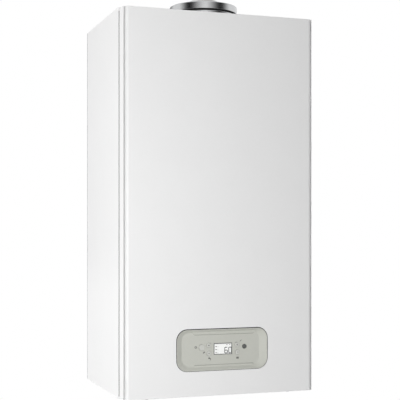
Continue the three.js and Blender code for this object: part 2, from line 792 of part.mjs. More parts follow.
/** Case of the control box, with its fascia opening, hinge lugs and hinge pins. */
function addControlBox() {
  const half = boxWidth / 2;
  const boxBackY = boxFrontY + boxDeep - lidThickness;
  const lugX = [half - hingeLugWidth, half];
  const lug = (x) => block(x, [hingeY - hingePinRadius, hingeY + 2 * hingePinRadius], [
    hingeHeight - hingePinRadius,
    boxBottom + boxWall,
  ]);
  const pinEnd = half + hingeEarGap + hingeEarThickness + hingePinProud;
  const pin = (x) => rod('x', hingePinRadius, x, [hingeY, hingeHeight], 16);
  piece('control_box_case', blackPlastic, joined(
    cut(
      block([-half, half], [boxFrontY, boxBackY], [boxBottom, boxTop]),
      block([boxWall - half, half - boxWall], [boxFrontY + boxWall, farOut], [
        boxBottom + boxWall,
        boxTop - boxWall,
      ]),
      extruded('y', fasciaOutline(gap), [-farOut, boxFrontY + 2 * boxWall]),
    ),
    lug(lugX),
    lug([-lugX[1], -lugX[0]]),
    pin([half - boxWall, pinEnd]),
    pin([-pinEnd, boxWall - half]),
  ));
  const lidY = [boxBackY + gap, boxFrontY + boxDeep];
  const plug = [boxWall + gap, 2 * boxWall + gap];
  const lidRim = (inset) => [
    [inset - half, half - inset],
    [boxBackY - 2 * boxWall, boxBackY + boxWall],
    [boxBottom + inset, boxTop - inset],
  ];
  piece('control_box_lid', blackPlastic, joined(
    extruded('y', roundedRectangle([boxWidth, boxTall], [0, boxBottom + boxTall / 2], lidCorner), lidY, 2),
    cut(block(...lidRim(plug[0])), block(
      lidRim(plug[1])[0],
      [-farOut, boxBackY + boxWall],
      lidRim(plug[1])[2],
    )),
  ));
  const boardY = floorY + fasciaWall + boardSetBack;
  piece('main_board', boardGreen, block(
    [boardMargin - half, half - boardMargin],
    [boardY, boardY + boardThickness],
    [boxBottom + boardMargin / 2, boxTop - boardMargin / 2],
  ));
  addFascia(boardY);
}

/** Fascia tray with sloping walls, its window, its lens and its six push buttons. */
function addFascia(boardY) {
  const rimY = frontY + fasciaSetBack;
  const cavity = new THREE.ExtrudeGeometry(fasciaOutline(-fasciaSlope - fasciaWall), {
    depth: cavityFloor,
    bevelThickness: floorY - rimY,
    bevelSize: fasciaSlope,
    bevelSegments: 1,
    curveSegments: 3,
  });
  const turn = new THREE.Matrix4().makeBasis(unit.x, unit.z, unit.y.clone().negate());
  cavity.applyMatrix4(turn.setPosition(0, rimY, 0));
  const fasciaBackY = rimY + fasciaDeep;
  const floorBackY = floorY + fasciaWall;
  const windowHole = [about(windowX, windowWidth), about(windowHeight, windowTall)];
  piece('fascia', fasciaGrey, cut(
    extruded('y', fasciaOutline(0), [rimY, fasciaBackY]),
    solidOf(cavity),
    extruded('y', fasciaOutline(-fasciaWall), [floorBackY, farOut]),
    block(windowHole[0], [-farOut, farOut], windowHole[1]),
    ...buttons.map(({ x, z, radius }) => rod('y', radius + buttonClearance, [-farOut, farOut], [x, z], 16)),
  ));
  const inside = ([low, high]) => [low + gap, high - gap];
  piece('display_lens', displayWhite, block(
    inside(windowHole[0]),
    [floorY - gap, floorBackY],
    inside(windowHole[1]),
  ));
  const flangeY = floorBackY + gap;
  const flangeBackY = boardY - buttonTravel - gap;
  const faceY = floorY - buttonProud;
  for (const { name, x, z, radius } of buttons) {
    piece(name, buttonGrey, turned('y', [
      [0, faceY],
      [radius - buttonEdge[0], faceY],
      [radius, faceY + buttonEdge[1]],
      [radius, flangeY],
      [radius + buttonFlange, flangeY],
      [radius + buttonFlange, flangeBackY],
      [0, flangeBackY],
    ], [x, z], 16));
  }
}

// ---------------------------------------------------------------- flue outlet

/** Flange, gasket, collar and inner socket of the concentric flue outlet. */
function addFlueOutlet() {
  const at = [flueX, flueY];
  const flangeTop = caseHeight + gap + flangeHeight;
  const flangeZ = [caseHeight + gap, flangeTop];
  piece('flue_flange', polishedSteel, ring('z', [airDuctRadius + sheet, flangeRadius], flangeZ, at, 40));
  const gasketZ = [flangeTop + gap, flangeTop + gap + gasketHeight];
  piece('flue_gasket', blackRubber, ring('z', [airDuctRadius + sheet, gasketRadius], gasketZ, at, 40));
  const base = collarBottom + collarWall;
  const lipTop = collarTop - collarWall;
  piece('flue_collar', polishedSteel, turned('z', [
    [airDuctRadius, collarBottom],
    [collarRadius, collarBottom],
    [collarRadius, collarTop],
    [collarRadius - collarLip, collarTop],
    [collarRadius - collarLip, lipTop],
    [collarRadius - collarWall, lipTop],
    [collarRadius - collarWall, base],
    [airDuctRadius + collarWall, base],
    [airDuctRadius + collarWall, lipTop],
    [airDuctRadius, lipTop],
    [airDuctRadius, collarBottom],
  ], at, 40));
  const socketTop = collarTop + flueRise;
  const web = (i) => {
    const [near, far] = [flueRadius - flueWall / 2, airDuctRadius - gap];
    const bar = new THREE.BoxGeometry(far - near, webThickness, webHeight);
    bar.translate((near + far) / 2, 0, collarBottom + webHeight / 2);
    return solidOf(bar.rotateZ(webTurn + (2 * Math.PI * i) / webCount).translate(flueX, flueY, 0));
  };
  piece('flue_socket', greyComposite, joined(
    ring('z', [flueRadius - flueWall, flueRadius], [socketTop - socketLength, socketTop], at, 32),
    ...Array.from({ length: webCount }, (_, i) => web(i)),
  ));
}

// ---------------------------------------------------------------- heat exchanger and burner

/** Width from the shell's middle to its skin at a height. */
const shellReach = (z) => Math.sqrt(shellRadius ** 2 - (z - shellHeight) ** 2);

/** Shell of the heat exchanger, with its exhaust, water and drain stubs. */
function addHeatExchanger() {
  const axis = [shellX, shellHeight];
  const backY = -shellBack;
  const stubAt = [stubX, -stubSetOut];
  const drainAt = [trapX, -trapSetOut];
  const water = [-waterSetOut, waterStubHeight];
  const reach = shellReach(waterStubHeight) + waterStubReach;
  const stubEnds = [shellX - reach, shellX + reach];
  const outer = joined(
    rod('y', shellRadius, [shellFrontY, backY], axis, 32),
    rod('y', shellRadius + shellFlange, [shellFrontY, shellFrontY + shellFlange], axis, 32),
    rod('z', flueRadius, [shellHeight, stubTop], stubAt, 32),
    rod('x', waterStubRadius, stubEnds, water, 16),
    rod('z', drainRadius, [drainBottom, shellHeight], drainAt, 16),
  );
  piece('heat_exchanger_shell', greyComposite, cut(
    outer,
    rod('y', shellRadius - shellWall, [-farOut, backY - shellWall], axis, 32),
    rod('z', flueRadius - flueWall, [shellHeight, farOut], stubAt, 32),
    rod('x', waterStubBore, [-farOut, farOut], water, 12),
    rod('z', drainRadius - shellWall, [-farOut, shellHeight], drainAt, 12),
  ));
  const coilFrontY = shellFrontY + (shellLength - coilTurns * coilPitch) / 2;
  const profile = [[coilInner, coilFrontY]];
  for (let turn = 0; turn < coilTurns; turn += 1) {
    const start = coilFrontY + turn * coilPitch;
    profile.push([coilOuter - coilWave, start], [coilOuter, start + coilPitch / 2]);
  }
  const coilBackY = coilFrontY + coilTurns * coilPitch;
  profile.push([coilOuter - coilWave, coilBackY], [coilInner, coilBackY], [coilInner, coilFrontY]);
  piece('heat_exchanger_coil', stainless, turned('y', profile, axis, 24));
  const doorY = [shellFrontY - gap - doorThickness, shellFrontY - gap];
  piece('burner_door', castAluminium, turned('y', [
    [burnerRadius / 2, doorY[1]],
    [doorRadius, doorY[1]],
    [doorRadius, doorY[1] - doorLipThickness],
    [doorRadius - doorLip, doorY[1] - doorLipThickness],
    [doorRadius - doorLip - doorSlope, doorY[0]],
    [burnerRadius / 2, doorY[0]],
    [burnerRadius / 2, doorY[1]],
  ], axis, 32));
  const burnerFrontY = doorY[1] + gap;
  piece('burner_tube', stainless, turned('y', [
    [burnerRadius - burnerWall, burnerFrontY],
    [burnerRadius, burnerFrontY],
    [burnerRadius, burnerFrontY + burnerLength],
    [0, burnerFrontY + burnerLength],
    [0, burnerFrontY + burnerLength - burnerWall],
    [burnerRadius - burnerWall, burnerFrontY + burnerLength - burnerWall],
    [burnerRadius - burnerWall, burnerFrontY],
  ], axis, 20));
  const low = stubTop - exhaustEntry;
  piece('exhaust_pipe', greyComposite, bentPipe([
    [stubX, -stubSetOut, low],
    [stubX, -stubSetOut, low + exhaustRise],
    [flueX, flueY, low + exhaustRise + exhaustShift],
    [flueX, flueY, collarTop + flueRise - socketLength + exhaustExit],
  ], exhaustBend, flueRadius - flueWall - gap, flueRadius - 2 * flueWall - gap, 16));
  addBurnerElbow(doorY[0] - gap);
}

/** Cast duct from the fan's outlet to the burner door. */
function addBurnerElbow(doorFrontY) {
  const fanEndX = fanX - fanRadius - ductReach - gap;
  const [ductBackY, ductFrontY] = [-fanBack - elbowInset, fanFrontY + elbowInset];
  const [innerY, outerY] = [doorFrontY - elbowLift, fanFrontY - elbowDepth];
  const duct = ductTall - elbowInset;
  const plan = outline([
    [fanEndX, ductBackY],
    [fanEndX, ductFrontY],
    [fanEndX + outerY - ductFrontY, outerY],
    [shellX - elbowNeck + elbowCorner, outerY],
    [shellX - elbowNeck, outerY + elbowCorner],
    [shellX - elbowNeck, doorFrontY],
    [shellX + elbowNeck, doorFrontY],
    [shellX + elbowNeck, innerY],
    [fanEndX - elbowThroat, innerY],
    [fanEndX - fanWall, doorFrontY],
    [fanEndX - fanWall, ductBackY],
  ]);
  const bottom = ductBottom + elbowInset / 2;
  const spigotY = [doorFrontY - elbowSpigot, doorFrontY];
  piece('burner_elbow', castAluminium, joined(
    extruded('z', plan, [bottom, bottom + duct]),
    rod('y', burnerRadius - fanWall, spigotY, [shellX, bottom + duct / 2], 24),
  ));
}

// ---------------------------------------------------------------- fan and gas train

/** Premix fan: volute, impeller, motor and the mixer on its inlet. */
function addFan() {
  const at = [fanX, fanHeight];
  const backY = -fanBack;
  const cavity = fanRadius - fanWall;
  const ductX = [fanX - fanRadius - ductReach, fanX];
  const inside = ([low, high]) => [low + fanWall, high - fanWall];
  piece('fan_housing', castAluminium, cut(
    joined(
      rod('y', fanRadius, [fanFrontY, backY], at, 28),
      block(ductX, [fanFrontY, backY], [ductBottom, ductBottom + ductTall]),
    ),
    rod('y', cavity, [-farOut, backY - fanWall], at, 28),
    rod('y', fanInlet, [-farOut, farOut], at, 24),
    block([-farOut, fanX], inside([fanFrontY, backY]), inside([ductBottom, ductBottom + ductTall])),
  ));
  const wheel = cavity - fanClearance;
  const [wheelFrontY, wheelBackY] = [fanFrontY + wheelGap, backY - fanWall - wheelGap];
  let impeller = turned('y', [
    [0, wheelFrontY],
    [wheel, wheelFrontY],
    [wheel, wheelFrontY + wheelPlate],
    [wheelHub, wheelFrontY + wheelPlate],
    [wheelHub, wheelBackY],
    [0, wheelBackY],
  ], at, 20);
  const bladeFrontY = wheelFrontY + wheelPlate / 2;
  for (let i = 0; i < bladeCount; i += 1) {
    const blade = new THREE.BoxGeometry(bladeLength, wheelBackY - bladeFrontY, bladeThickness);
    blade.translate(wheel - (bladeLength + bladeThickness) / 2, (bladeFrontY + wheelBackY) / 2, 0);
    blade.rotateY((2 * Math.PI * i) / bladeCount).translate(fanX, 0, fanHeight);
    impeller = impeller.add(solidOf(blade));
  }
  piece('fan_impeller', castAluminium, impeller);
  const motorY = fanFrontY - gap;
  piece('fan_motor', blackPlastic, turned('y', [
    [0, motorY],
    [fanRadius - fanWall / 2, motorY],
    [fanRadius - fanWall / 2, motorY - fanMotorPlate],
    [fanMotorRadius + fanMotorPlate, motorY - fanMotorPlate],
    [fanMotorRadius, motorY - 2 * fanMotorPlate],
    [fanMotorRadius, motorY - fanMotorLength + fanMotorCorner],
    [fanMotorRadius - fanMotorCorner, motorY - fanMotorLength],
    [0, motorY - fanMotorLength],
  ], at, 28));
  const mixerY = [backY + gap, backY + gap + mixerLength];
  piece('gas_air_mixer', greyComposite, cut(
    joined(
      turned('y', [
        [0, mixerY[0]],
        [mixerRadius + mixerFlange, mixerY[0]],
        [mixerRadius + mixerFlange, mixerY[0] + mixerFlange],
        [mixerRadius, mixerY[0] + mixerFlange],
        [mixerRadius, mixerY[1] - mixerMouthLength],
        [mixerRadius + mixerMouth, mixerY[1]],
        [0, mixerY[1]],
      ], at, 28),
      rod('z', gasPipeRadius + 2, [mixerBossBottom, fanHeight - fanInlet], [valveOutX, -mixerBossSetOut], 16),
    ),
    rod('y', fanInlet, [-farOut, farOut], at, 24),
  ));
}

/** Gas valve and its two pipes. */
function addGasTrain() {
  const half = valveWidth / 2;
  const valveTop = valveBottom + valveTall;
  const valveY = [-valveBack - valveDeep, -valveBack];
  const headX = about(valveX, valveWidth - 2 * valveStep);
  const coilY = [valveY[0] - valveCoilReach, valveY[0] + 1];
  const coils = about(valveX, valveCoilSpacing).map((x) => (
    rod('y', valveCoilRadius, coilY, [x, valveTop - valveCoilDrop], 24)
  ));
  piece('gas_valve', castAluminium, joined(
    block([valveX - half, valveX + half], valveY, [valveBottom + valveFoot, valveTop - valveStep]),
    block(headX, [valveY[0] + valveStep, valveY[1]], [valveBottom, valveTop]),
    ...coils,
  ));
  const bore = gasPipeRadius - copperWall;
  const inY = valveY[1] - pipeBend;
  piece('gas_pipe', copper, bentPipe([
    [0, pipeY, manifoldBottom],
    [0, pipeY, gasPipeRun],
    [valveX, inY, gasPipeRun],
    [valveX, inY, valveBottom - gap],
  ], pipeBend, gasPipeRadius, bore));
  piece('gas_feed_pipe', copper, bentPipe([
    [valveOutX, -valveOutSetOut, valveTop + gap],
    [valveOutX, -valveOutSetOut, valveTop + feedRise],
    [valveOutX, -mixerBossSetOut, valveTop + feedRise + feedStep],
    [valveOutX, -mixerBossSetOut, mixerBossBottom - gap],
  ], pipeBend, gasPipeRadius, bore));
}

// ---------------------------------------------------------------- water side

/** Flat round expansion vessel behind the heat exchanger, with its pipe to the return manifold. */
function addExpansionVessel() {
  const at = [0, vesselHeight];
  const frontY = -vesselBack - vesselDeep;
  const dish = (inset) => {
    const r = vesselRadius - inset;
    const [near, far] = [frontY + inset, -vesselBack - inset];
    return turned('y', [
      [0, near],
      [vesselFlat * r, near + vesselCrown],
      [r, near + vesselShoulder],
      [r, far - vesselShoulder],
      [vesselFlat * r, far - vesselCrown],
      [0, far],
    ], at, 28);
  };
  const middleY = frontY + vesselDeep / 2;
  const nozzleBottom = vesselHeight - vesselRadius - vesselNozzleLength;
  piece('expansion_vessel', greyPaint, cut(
    joined(
      dish(0),
      rod('y', vesselRadius + vesselSeam, about(middleY, vesselSeam), at, 28),
      rod('z', vesselNozzle, [nozzleBottom, vesselHeight - vesselRadius + vesselNozzle], [0, middleY], 16),
    ),
    dish(vesselWall),
    rod('z', vesselNozzleBore, [-farOut, vesselHeight], [0, middleY], 12),
  ));
  const endX = manifoldOuter - vesselPipeInset;
  const behindY = middleY + vesselPipeShift;
  const endZ = manifoldTop - vesselPipeEntry;
  piece('vessel_pipe', copper, bentPipe([
    [0, middleY, nozzleBottom - gap],
    [0, middleY, nozzleBottom - vesselPipeDrop],
    [endX, behindY, nozzleBottom - 2 * vesselPipeDrop],
    [endX, behindY, endZ],
    [endX, gap - manifoldBack, endZ],
  ], vesselPipeBend, vesselNozzleBore, vesselNozzleBore - copperWall, 8));
}

/** Left manifold with the diverter valve, and right manifold with the relief valve's boss. */
function addManifolds() {
  const y = [-manifoldFront, -manifoldBack];
  const z = [manifoldBottom, manifoldTop];
  const diverterAt = [diverterX, -diverterSetOut];
  piece('flow_manifold', greyComposite, cut(
    block([-manifoldOuter, -manifoldInner], y, z),
    block([-farOut, cornerWidth - manifoldOuter], [-farOut, y[0] + cornerDeep], [-farOut, farOut]),
    block([-manifoldInner - stepWidth, farOut], [-farOut, y[0] + stepDeep], [
      manifoldBottom + flowStepHeight,
      farOut,
    ]),
    rod('z', diverterBore, [diverterFloor, farOut], diverterAt),
  ));
  const stemTop = manifoldTop - diverterTravel - 4 * gap;
  const discZ = [1, 2].map((times) => diverterFloor + times * diverterDiscHeight);
  piece('diverter_stem', brass, turned('z', [
    [0, discZ[0]],
    [diverterDisc, discZ[0]],
    [diverterDisc, discZ[1]],
    [diverterStem, discZ[1] + diverterCone],
    [diverterStem, stemTop],
    [0, stemTop],
  ], diverterAt, 20));
  const motorBottom = manifoldTop + gap;
  const motorLeft = diverterX - diverterMotorWidth / 2;
  piece('diverter_motor', blackPlastic, joined(
    extruded('z', roundedRectangle(
      [diverterMotorWidth, diverterMotorDeep],
      diverterAt,
      diverterMotorCorner,
    ), [motorBottom + diverterCollarTall, motorBottom + diverterMotorTall], 2),
    rod('z', diverterCollarRadius, [motorBottom, motorBottom + diverterCollarTall + 1], diverterAt),
    block(
      [motorLeft - diverterPlugReach, motorLeft + 1],
      about(-diverterSetOut, diverterPlugWidth),
      diverterPlugHeights.map((height) => motorBottom + height),
    ),
  ));
  const reliefAt = [reliefX, reliefHeight];
  const reliefY = y[0] - reliefReach;
  piece('return_manifold', greyComposite, cut(
    joined(
      block([manifoldInner, manifoldOuter], y, z),
      rod('y', reliefBoss, [reliefY, y[0] + 1], reliefAt, 20),
    ),
    block([manifoldOuter - cornerWidth, farOut], [-farOut, y[0] + cornerDeep], [-farOut, farOut]),
    block([-farOut, manifoldInner + stepWidth], [-farOut, y[0] + stepDeep], [
      manifoldBottom + returnStepHeight,
      farOut,
    ]),
    rod('z', turbineBore, [-farOut, turbineBottom + turbineTall + turbineRoof], [pipeSpacing, pipeY]),
  ));
  const knobY = reliefY - gap;
  const grip = (turn) => {
    const length = reliefKnobLength - 2 * reliefWingInset;
    const wing = new THREE.BoxGeometry(2 * reliefKnobRadius, length, reliefWing);
    wing.translate(0, knobY - reliefKnobLength / 2, 0);
    return solidOf(wing.rotateY(turn).translate(reliefX, 0, reliefHeight));
  };
  piece('relief_valve_knob', redPlastic, joined(
    turned('y', [
      [0, knobY],
      [reliefKnobCore, knobY],
      [reliefKnobCore - 1, knobY - reliefKnobLength],
      [0, knobY - reliefKnobLength],
    ], reliefAt, 24),
    grip(0),
    grip(Math.PI / 2),
  ));
}

/** Flow sensor's turbine inside the cold inlet, and the filling tap's knob under the casing. */
function addWaterControls() {
  let turbine = rod('z', turbineHub, [turbineBottom, turbineBottom + turbineTall], [pipeSpacing, pipeY], 12);
  const bladeTall = turbineTall - 2 * turbineBladeInset;
  for (let i = 0; i < turbineBlades; i += 1) {
    const blade = new THREE.BoxGeometry(2 * turbineRadius, turbineBlade, bladeTall);
    blade.rotateZ((Math.PI * i) / turbineBlades);
    blade.translate(pipeSpacing, pipeY, turbineBottom + turbineTall / 2);
    turbine = turbine.add(solidOf(blade));
  }
  piece('flow_turbine', whiteEnamel, turbine);
  const fillAt = [fillX, -fillSetOut];
  piece('filling_tap_knob', bluePlastic, joined(
    turned('z', [
      [0, fillKnobBottom],
      [fillKnobCore - 1, fillKnobBottom],
      [fillKnobCore, fillKnobTop],
      [fillStem, fillKnobTop],
      [fillStem, manifoldBottom - gap],
      [0, manifoldBottom - gap],
    ], fillAt, 20),
    block(about(fillX, 2 * fillKnobRadius), about(fillAt[1], fillWing), [
      fillKnobBottom,
      fillKnobTop - fillWingDrop,
    ]),
  ));
}

/** Plate heat exchanger: a pack of plates with a groove between each two. */
function addPlateExchanger() {
  const y = [-exchangerBack - exchangerDeep, -exchangerBack];
  const z = [exchangerBottom, exchangerBottom + exchangerTall];
  const pack = block([exchangerLeft, exchangerRight], y, z);
  const inside = ([low, high]) => [low + exchangerEdge, high - exchangerEdge];
  const core = block(inside([exchangerLeft, exchangerRight]), [-farOut, farOut], inside(z));
  const pitch = exchangerDeep / exchangerPlates;
  const tools = [];
  for (let i = 1; i < exchangerPlates; i += 1) {
    const groove = about(y[0] + i * pitch, plateGroove);
    tools.push(cut(block([-farOut, farOut], groove, [-farOut, farOut]), core));
  }
  piece('plate_exchanger', stainless, cut(pack, ...tools));
}

/** Circulating pump with its impeller and motor, and the automatic air vent on top of it. */
function addPump() {
  const at = [pumpX, pumpHeight];
  const frontY = -(pumpBack + pumpDeep);
  const middleY = (frontY - pumpBack) / 2;
  piece('pump_housing', greyComposite, cut(
    joined(
      rod('y', pumpRadius, [frontY, -pumpBack], at, 32),
      block(about(pumpX, pumpFootWidth), about(middleY, pumpDeep - 2 * pumpFootInset), [
        manifoldTop + gap,
        pumpHeight,
      ]),
      rod('z', copperRadius + pumpFootInset, [pumpHeight, pumpOutletTop], [pumpOutletX, middleY], 16),
      rod('z', ventRadius - ventFoot, [pumpHeight, pumpTop + ventFoot], [pumpX, middleY], 16),
    ),
    rod('y', pumpRadius - pumpWall, [-farOut, -pumpBack - pumpWall], at, 32),
  ));
  const wheel = pumpRadius - pumpWall - impellerClearance;
  const wheelY = [frontY + impellerClearance, frontY + impellerClearance + impellerDeep];
  piece('pump_impeller', greyComposite, turned('y', [
    [0, wheelY[0]],
    [wheel, wheelY[0] + wheelPlate],
    [wheel, wheelY[0] + impellerDeep / 2],
    [impellerHub, wheelY[1]],
    [0, wheelY[1]],
  ], at, 20));
  const motorY = frontY - gap;
  piece('pump_motor', castAluminium, turned('y', [
    [0, motorY],
    [pumpRadius - pumpWall / 4, motorY],
    [pumpRadius - pumpWall / 4, motorY - pumpMotorPlate],
    [pumpMotorRadius, motorY - 1.5 * pumpMotorPlate],
    [pumpMotorRadius, motorY - pumpMotorLength + pumpMotorCorner],
    [pumpMotorRadius - pumpMotorCorner, motorY - pumpMotorLength],
    [0, motorY - pumpMotorLength],
  ], at, 28));
  const ventBottom = pumpTop + ventFoot + gap;
  const nozzleBottom = ventBottom + ventHeight - ventNozzleLength;
  piece('air_vent', brass, turned('z', [
    [0, ventBottom],
    [ventRadius - ventChamfer, ventBottom],
    [ventRadius, ventBottom + ventChamfer],
    [ventRadius, nozzleBottom - ventChamfer / 2],
    [ventNozzleRadius, nozzleBottom],
    [ventNozzleRadius, ventBottom + ventHeight],
    [0, ventBottom + ventHeight],
  ], [pumpX, middleY], 20));
  const reach = shellReach(waterStubHeight) + waterStubReach + gap;
  const bore = copperRadius - copperWall;
  piece('return_pipe', copper, bentPipe([
    [pumpOutletX, middleY, pumpOutletTop + gap],
    [pumpOutletX, middleY, returnRun],
    [pumpOutletX, -waterSetOut, returnRun],
    [pumpOutletX, -waterSetOut, waterStubHeight],
    [shellX + reach, -waterSetOut, waterStubHeight],
  ], pipeBend, copperRadius, bore));
  const footY = -manifoldBack - flowPipeInset;
  piece('flow_pipe', copper, bentPipe([
    [shellX - reach, -waterSetOut, waterStubHeight],
    [flowPipeX, -waterSetOut, waterStubHeight],
    [flowPipeX, -waterSetOut, manifoldTop + flowPipeStep[1]],
    [flowPipeX, footY, manifoldTop + flowPipeStep[0]],
    [flowPipeX, footY, manifoldTop + gap],
  ], pipeBend, copperRadius, bore));
}

/** Condensate trap under the heat exchanger, with its outlet through the bottom plate. */
function addCondensateTrap() {
  piece('condensate_trap', greyComposite, turned('z', [
    [0, trapOutletBottom],
    [trapOutletRadius, trapOutletBottom],
    [trapOutletRadius, trapBottom - trapFoot],
    [trapRadius, trapBottom],
    [trapRadius, trapTop],
    [drainRadius, trapTop + trapShoulder],
    [drainRadius, drainBottom - gap],
    [0, drainBottom - gap],
  ], [trapX, -trapSetOut], 24));
}

/** Threaded pipe tails through the bottom plate, and the gland for the mains lead. */
function addConnections() {
  for (const { name, x, thread } of tails) {
    const bore = thread - threadWall;
    const collarZ = floorHeight + sheet + gap;
    piece(name, brass, turned('z', [
      [bore, -tailBelow],
      [thread - threadChamfer[0], -tailBelow],
      [thread, threadChamfer[1] - tailBelow],
      [thread, collarZ],
      [thread + tailCollar, collarZ],
      [thread + tailCollar, manifoldBottom - gap],
      [bore, manifoldBottom - gap],
      [bore, -tailBelow],
    ], [x, pipeY], 20));
  }
  piece('cable_gland', blackPlastic, turned('z', [
    [glandBore, glandBottom],
    [glandRadius - glandChamfer[0], glandBottom],
    [glandRadius, glandBottom + glandChamfer[1]],
    [glandRadius, floorHeight - gap],
    [glandRadius - glandNeck, floorHeight - gap],
    [glandRadius - glandNeck, floorHeight + glandTop],
    [glandBore, floorHeight + glandTop],
    [glandBore, glandBottom],
  ], [glandX, -glandSetOut], 20));
}

addBackFrame();
addTopPanel();
addSidePanel('left_side_panel', -1);
addSidePanel('right_side_panel', 1);
addBottomPlate();
addFlueOutlet();
addHeatExchanger();
addFan();
addGasTrain();
addExpansionVessel();
addManifolds();
addWaterControls();
addPlateExchanger();
addPump();
addCondensateTrap();
addConnections();
addFrontCover();
addControlBox();

export default boiler;
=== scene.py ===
"""Looks of a wall-hung combi boiler: casing, cover, control panel, flue outlet and everything inside.

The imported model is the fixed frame. Every piece here is modelled in millimetres from the casing's bottom
edge, with x to the right, y towards the wall and z up, and is moved into the frame when it is added.
"""

import logging
import math
from dataclasses import dataclass
from enum import Enum
from typing import Callable, Iterable, Sequence

import bmesh
import bpy
from mathutils import Matrix, Vector


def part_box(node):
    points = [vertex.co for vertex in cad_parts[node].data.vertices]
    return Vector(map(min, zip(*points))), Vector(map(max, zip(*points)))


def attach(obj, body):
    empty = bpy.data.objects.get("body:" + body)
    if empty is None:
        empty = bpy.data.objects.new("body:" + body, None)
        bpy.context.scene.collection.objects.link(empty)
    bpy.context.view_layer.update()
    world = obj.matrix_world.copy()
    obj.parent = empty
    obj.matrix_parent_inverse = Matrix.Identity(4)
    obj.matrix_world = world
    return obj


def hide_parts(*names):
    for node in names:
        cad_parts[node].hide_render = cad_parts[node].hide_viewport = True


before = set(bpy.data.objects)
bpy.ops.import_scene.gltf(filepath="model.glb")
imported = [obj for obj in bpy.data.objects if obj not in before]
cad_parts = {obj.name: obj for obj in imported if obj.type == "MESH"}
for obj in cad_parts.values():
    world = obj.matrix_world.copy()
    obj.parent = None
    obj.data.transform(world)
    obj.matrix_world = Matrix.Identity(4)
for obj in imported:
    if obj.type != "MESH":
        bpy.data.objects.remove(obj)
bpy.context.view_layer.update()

MM = 0.001
HANGING_LINE = 725.0  # the frame's origin above the casing's bottom edge
FAR = 1000.0  # past every face, for cuts that run out of a piece
NEAR = 100.0  # past one sheet, for cuts that stay short of the other pieces
ROOT = "casing"
COVER = "front_cover"
BOX = "control_box"

Tree = bpy.types.NodeTree
Socket = bpy.types.NodeSocket
Value = Socket | float | tuple[float, ...]
Pair = tuple[float, float]
Triple = tuple[float, float, float]
Span = tuple[float, float]

EVERYWHERE: Span = (-FAR, FAR)
THROUGH: Span = (-NEAR, NEAR)
HINGE: Pair = (-311.0, 31.0)  # y and z of the control box's hinge
FLUE: Pair = (0.0, -212.0)  # x and y of the flue's axis
PIPE_Y = -110.0  # the row of pipe tails, in front of the wall
HEATING_X = 134.0  # heating flow left of the gas tail, heating return right of it
WATER_X = 67.0  # hot water left of the gas tail, cold water right of it
TRAP = (-49.0, -190.0)
GLAND = (-110.0, -200.0)
FILLING_TAP = (100.0, -138.0)
HEATER_PIPES = (-130.0, 500.0)  # depth and height of flow and return where they meet the heat exchanger
SCREW_X = 150.0  # the cover's captive screws, left and right of the middle
FLUE_HOLE = 51.0  # radius of the opening in the top panel and in the rings on it

log = logging.getLogger("boiler")


# ------------ outlines


def about(middle: float, length: float) -> Span:
    """The two ends of a length about its middle."""
    return middle - length / 2, middle + length / 2


def shrunk(span: Span, by: float) -> Span:
    """A span drawn in by the same distance at both ends."""
    return span[0] + by, span[1] - by


def mirrored(side: float, near: float, far: float) -> Span:
    """The span between two distances from the middle plane, on the right for 1 and on the left for -1."""
    return tuple(sorted((side * near, side * far)))


def arc(centre: Pair, radius: float, start: float, end: float, steps: int = 8) -> list[Pair]:
    """Points along an arc.

    Args:
        centre: The arc's centre.
        radius: Its radius.
        start: Angle of the first point, in degrees.
        end: Angle of the last point, in degrees.
        steps: Number of steps between them.

    Returns:
        The points, both ends included.
    """
    turns = [math.radians(start + (end - start) * k / steps) for k in range(steps + 1)]
    return [(centre[0] + radius * math.cos(t), centre[1] + radius * math.sin(t)) for t in turns]


def rounded(points: Sequence[Pair], radius: float, closed: bool = False, steps: int = 4) -> list[Pair]:
    """Rounds the corners of a line or of a closed outline.

    Args:
        points: The corners.
        radius: Largest radius of a corner; a short side takes a smaller one.
        closed: Whether the line closes on itself.
        steps: Steps in each corner.

    Returns:
        The points of the rounded line.
    """
    out: list[Pair] = []
    for i, point in enumerate(points):
        if not closed and i in (0, len(points) - 1):
            out.append(tuple(point))
            continue
        here = Vector(point)
        back = Vector(points[i - 1]) - here
        on = Vector(points[(i + 1) % len(points)]) - here
        corner = back.angle(on)
        if corner > math.pi - 0.03:
            out.append(tuple(point))
            continue
        half = math.tan(corner / 2)
        reach = min(radius / half, 0.48 * back.length, 0.48 * on.length)
        centre = here + (back.normalized() + on.normalized()).normalized() * (reach / math.cos(corner / 2))
        first = here + back.normalized() * reach - centre
        last = here + on.normalized() * reach - centre
        begin = math.atan2(first.y, first.x)
        turn = math.remainder(math.atan2(last.y, last.x) - begin, 2 * math.pi)
        out += arc(tuple(centre), first.length, math.degrees(begin), math.degrees(begin + turn), steps)
    return out


def rectangle(x: Span, z: Span, radius: float = 0.0, steps: int = 6) -> list[Pair]:
    """A rectangle between two spans, with round corners if a radius is given."""
    corners = [(x[0], z[0]), (x[1], z[0]), (x[1], z[1]), (x[0], z[1])]
    return rounded(corners, radius, closed=True, steps=steps) if radius else corners


def circle(centre: Pair, radius: float, sides: int = 32, turn: float = 0.0) -> list[Pair]:
    """A circle, or a regular outline with few sides, turned by an angle in degrees."""
    return arc(centre, radius, turn, turn + 360.0 * (sides - 1) / sides, sides - 1)


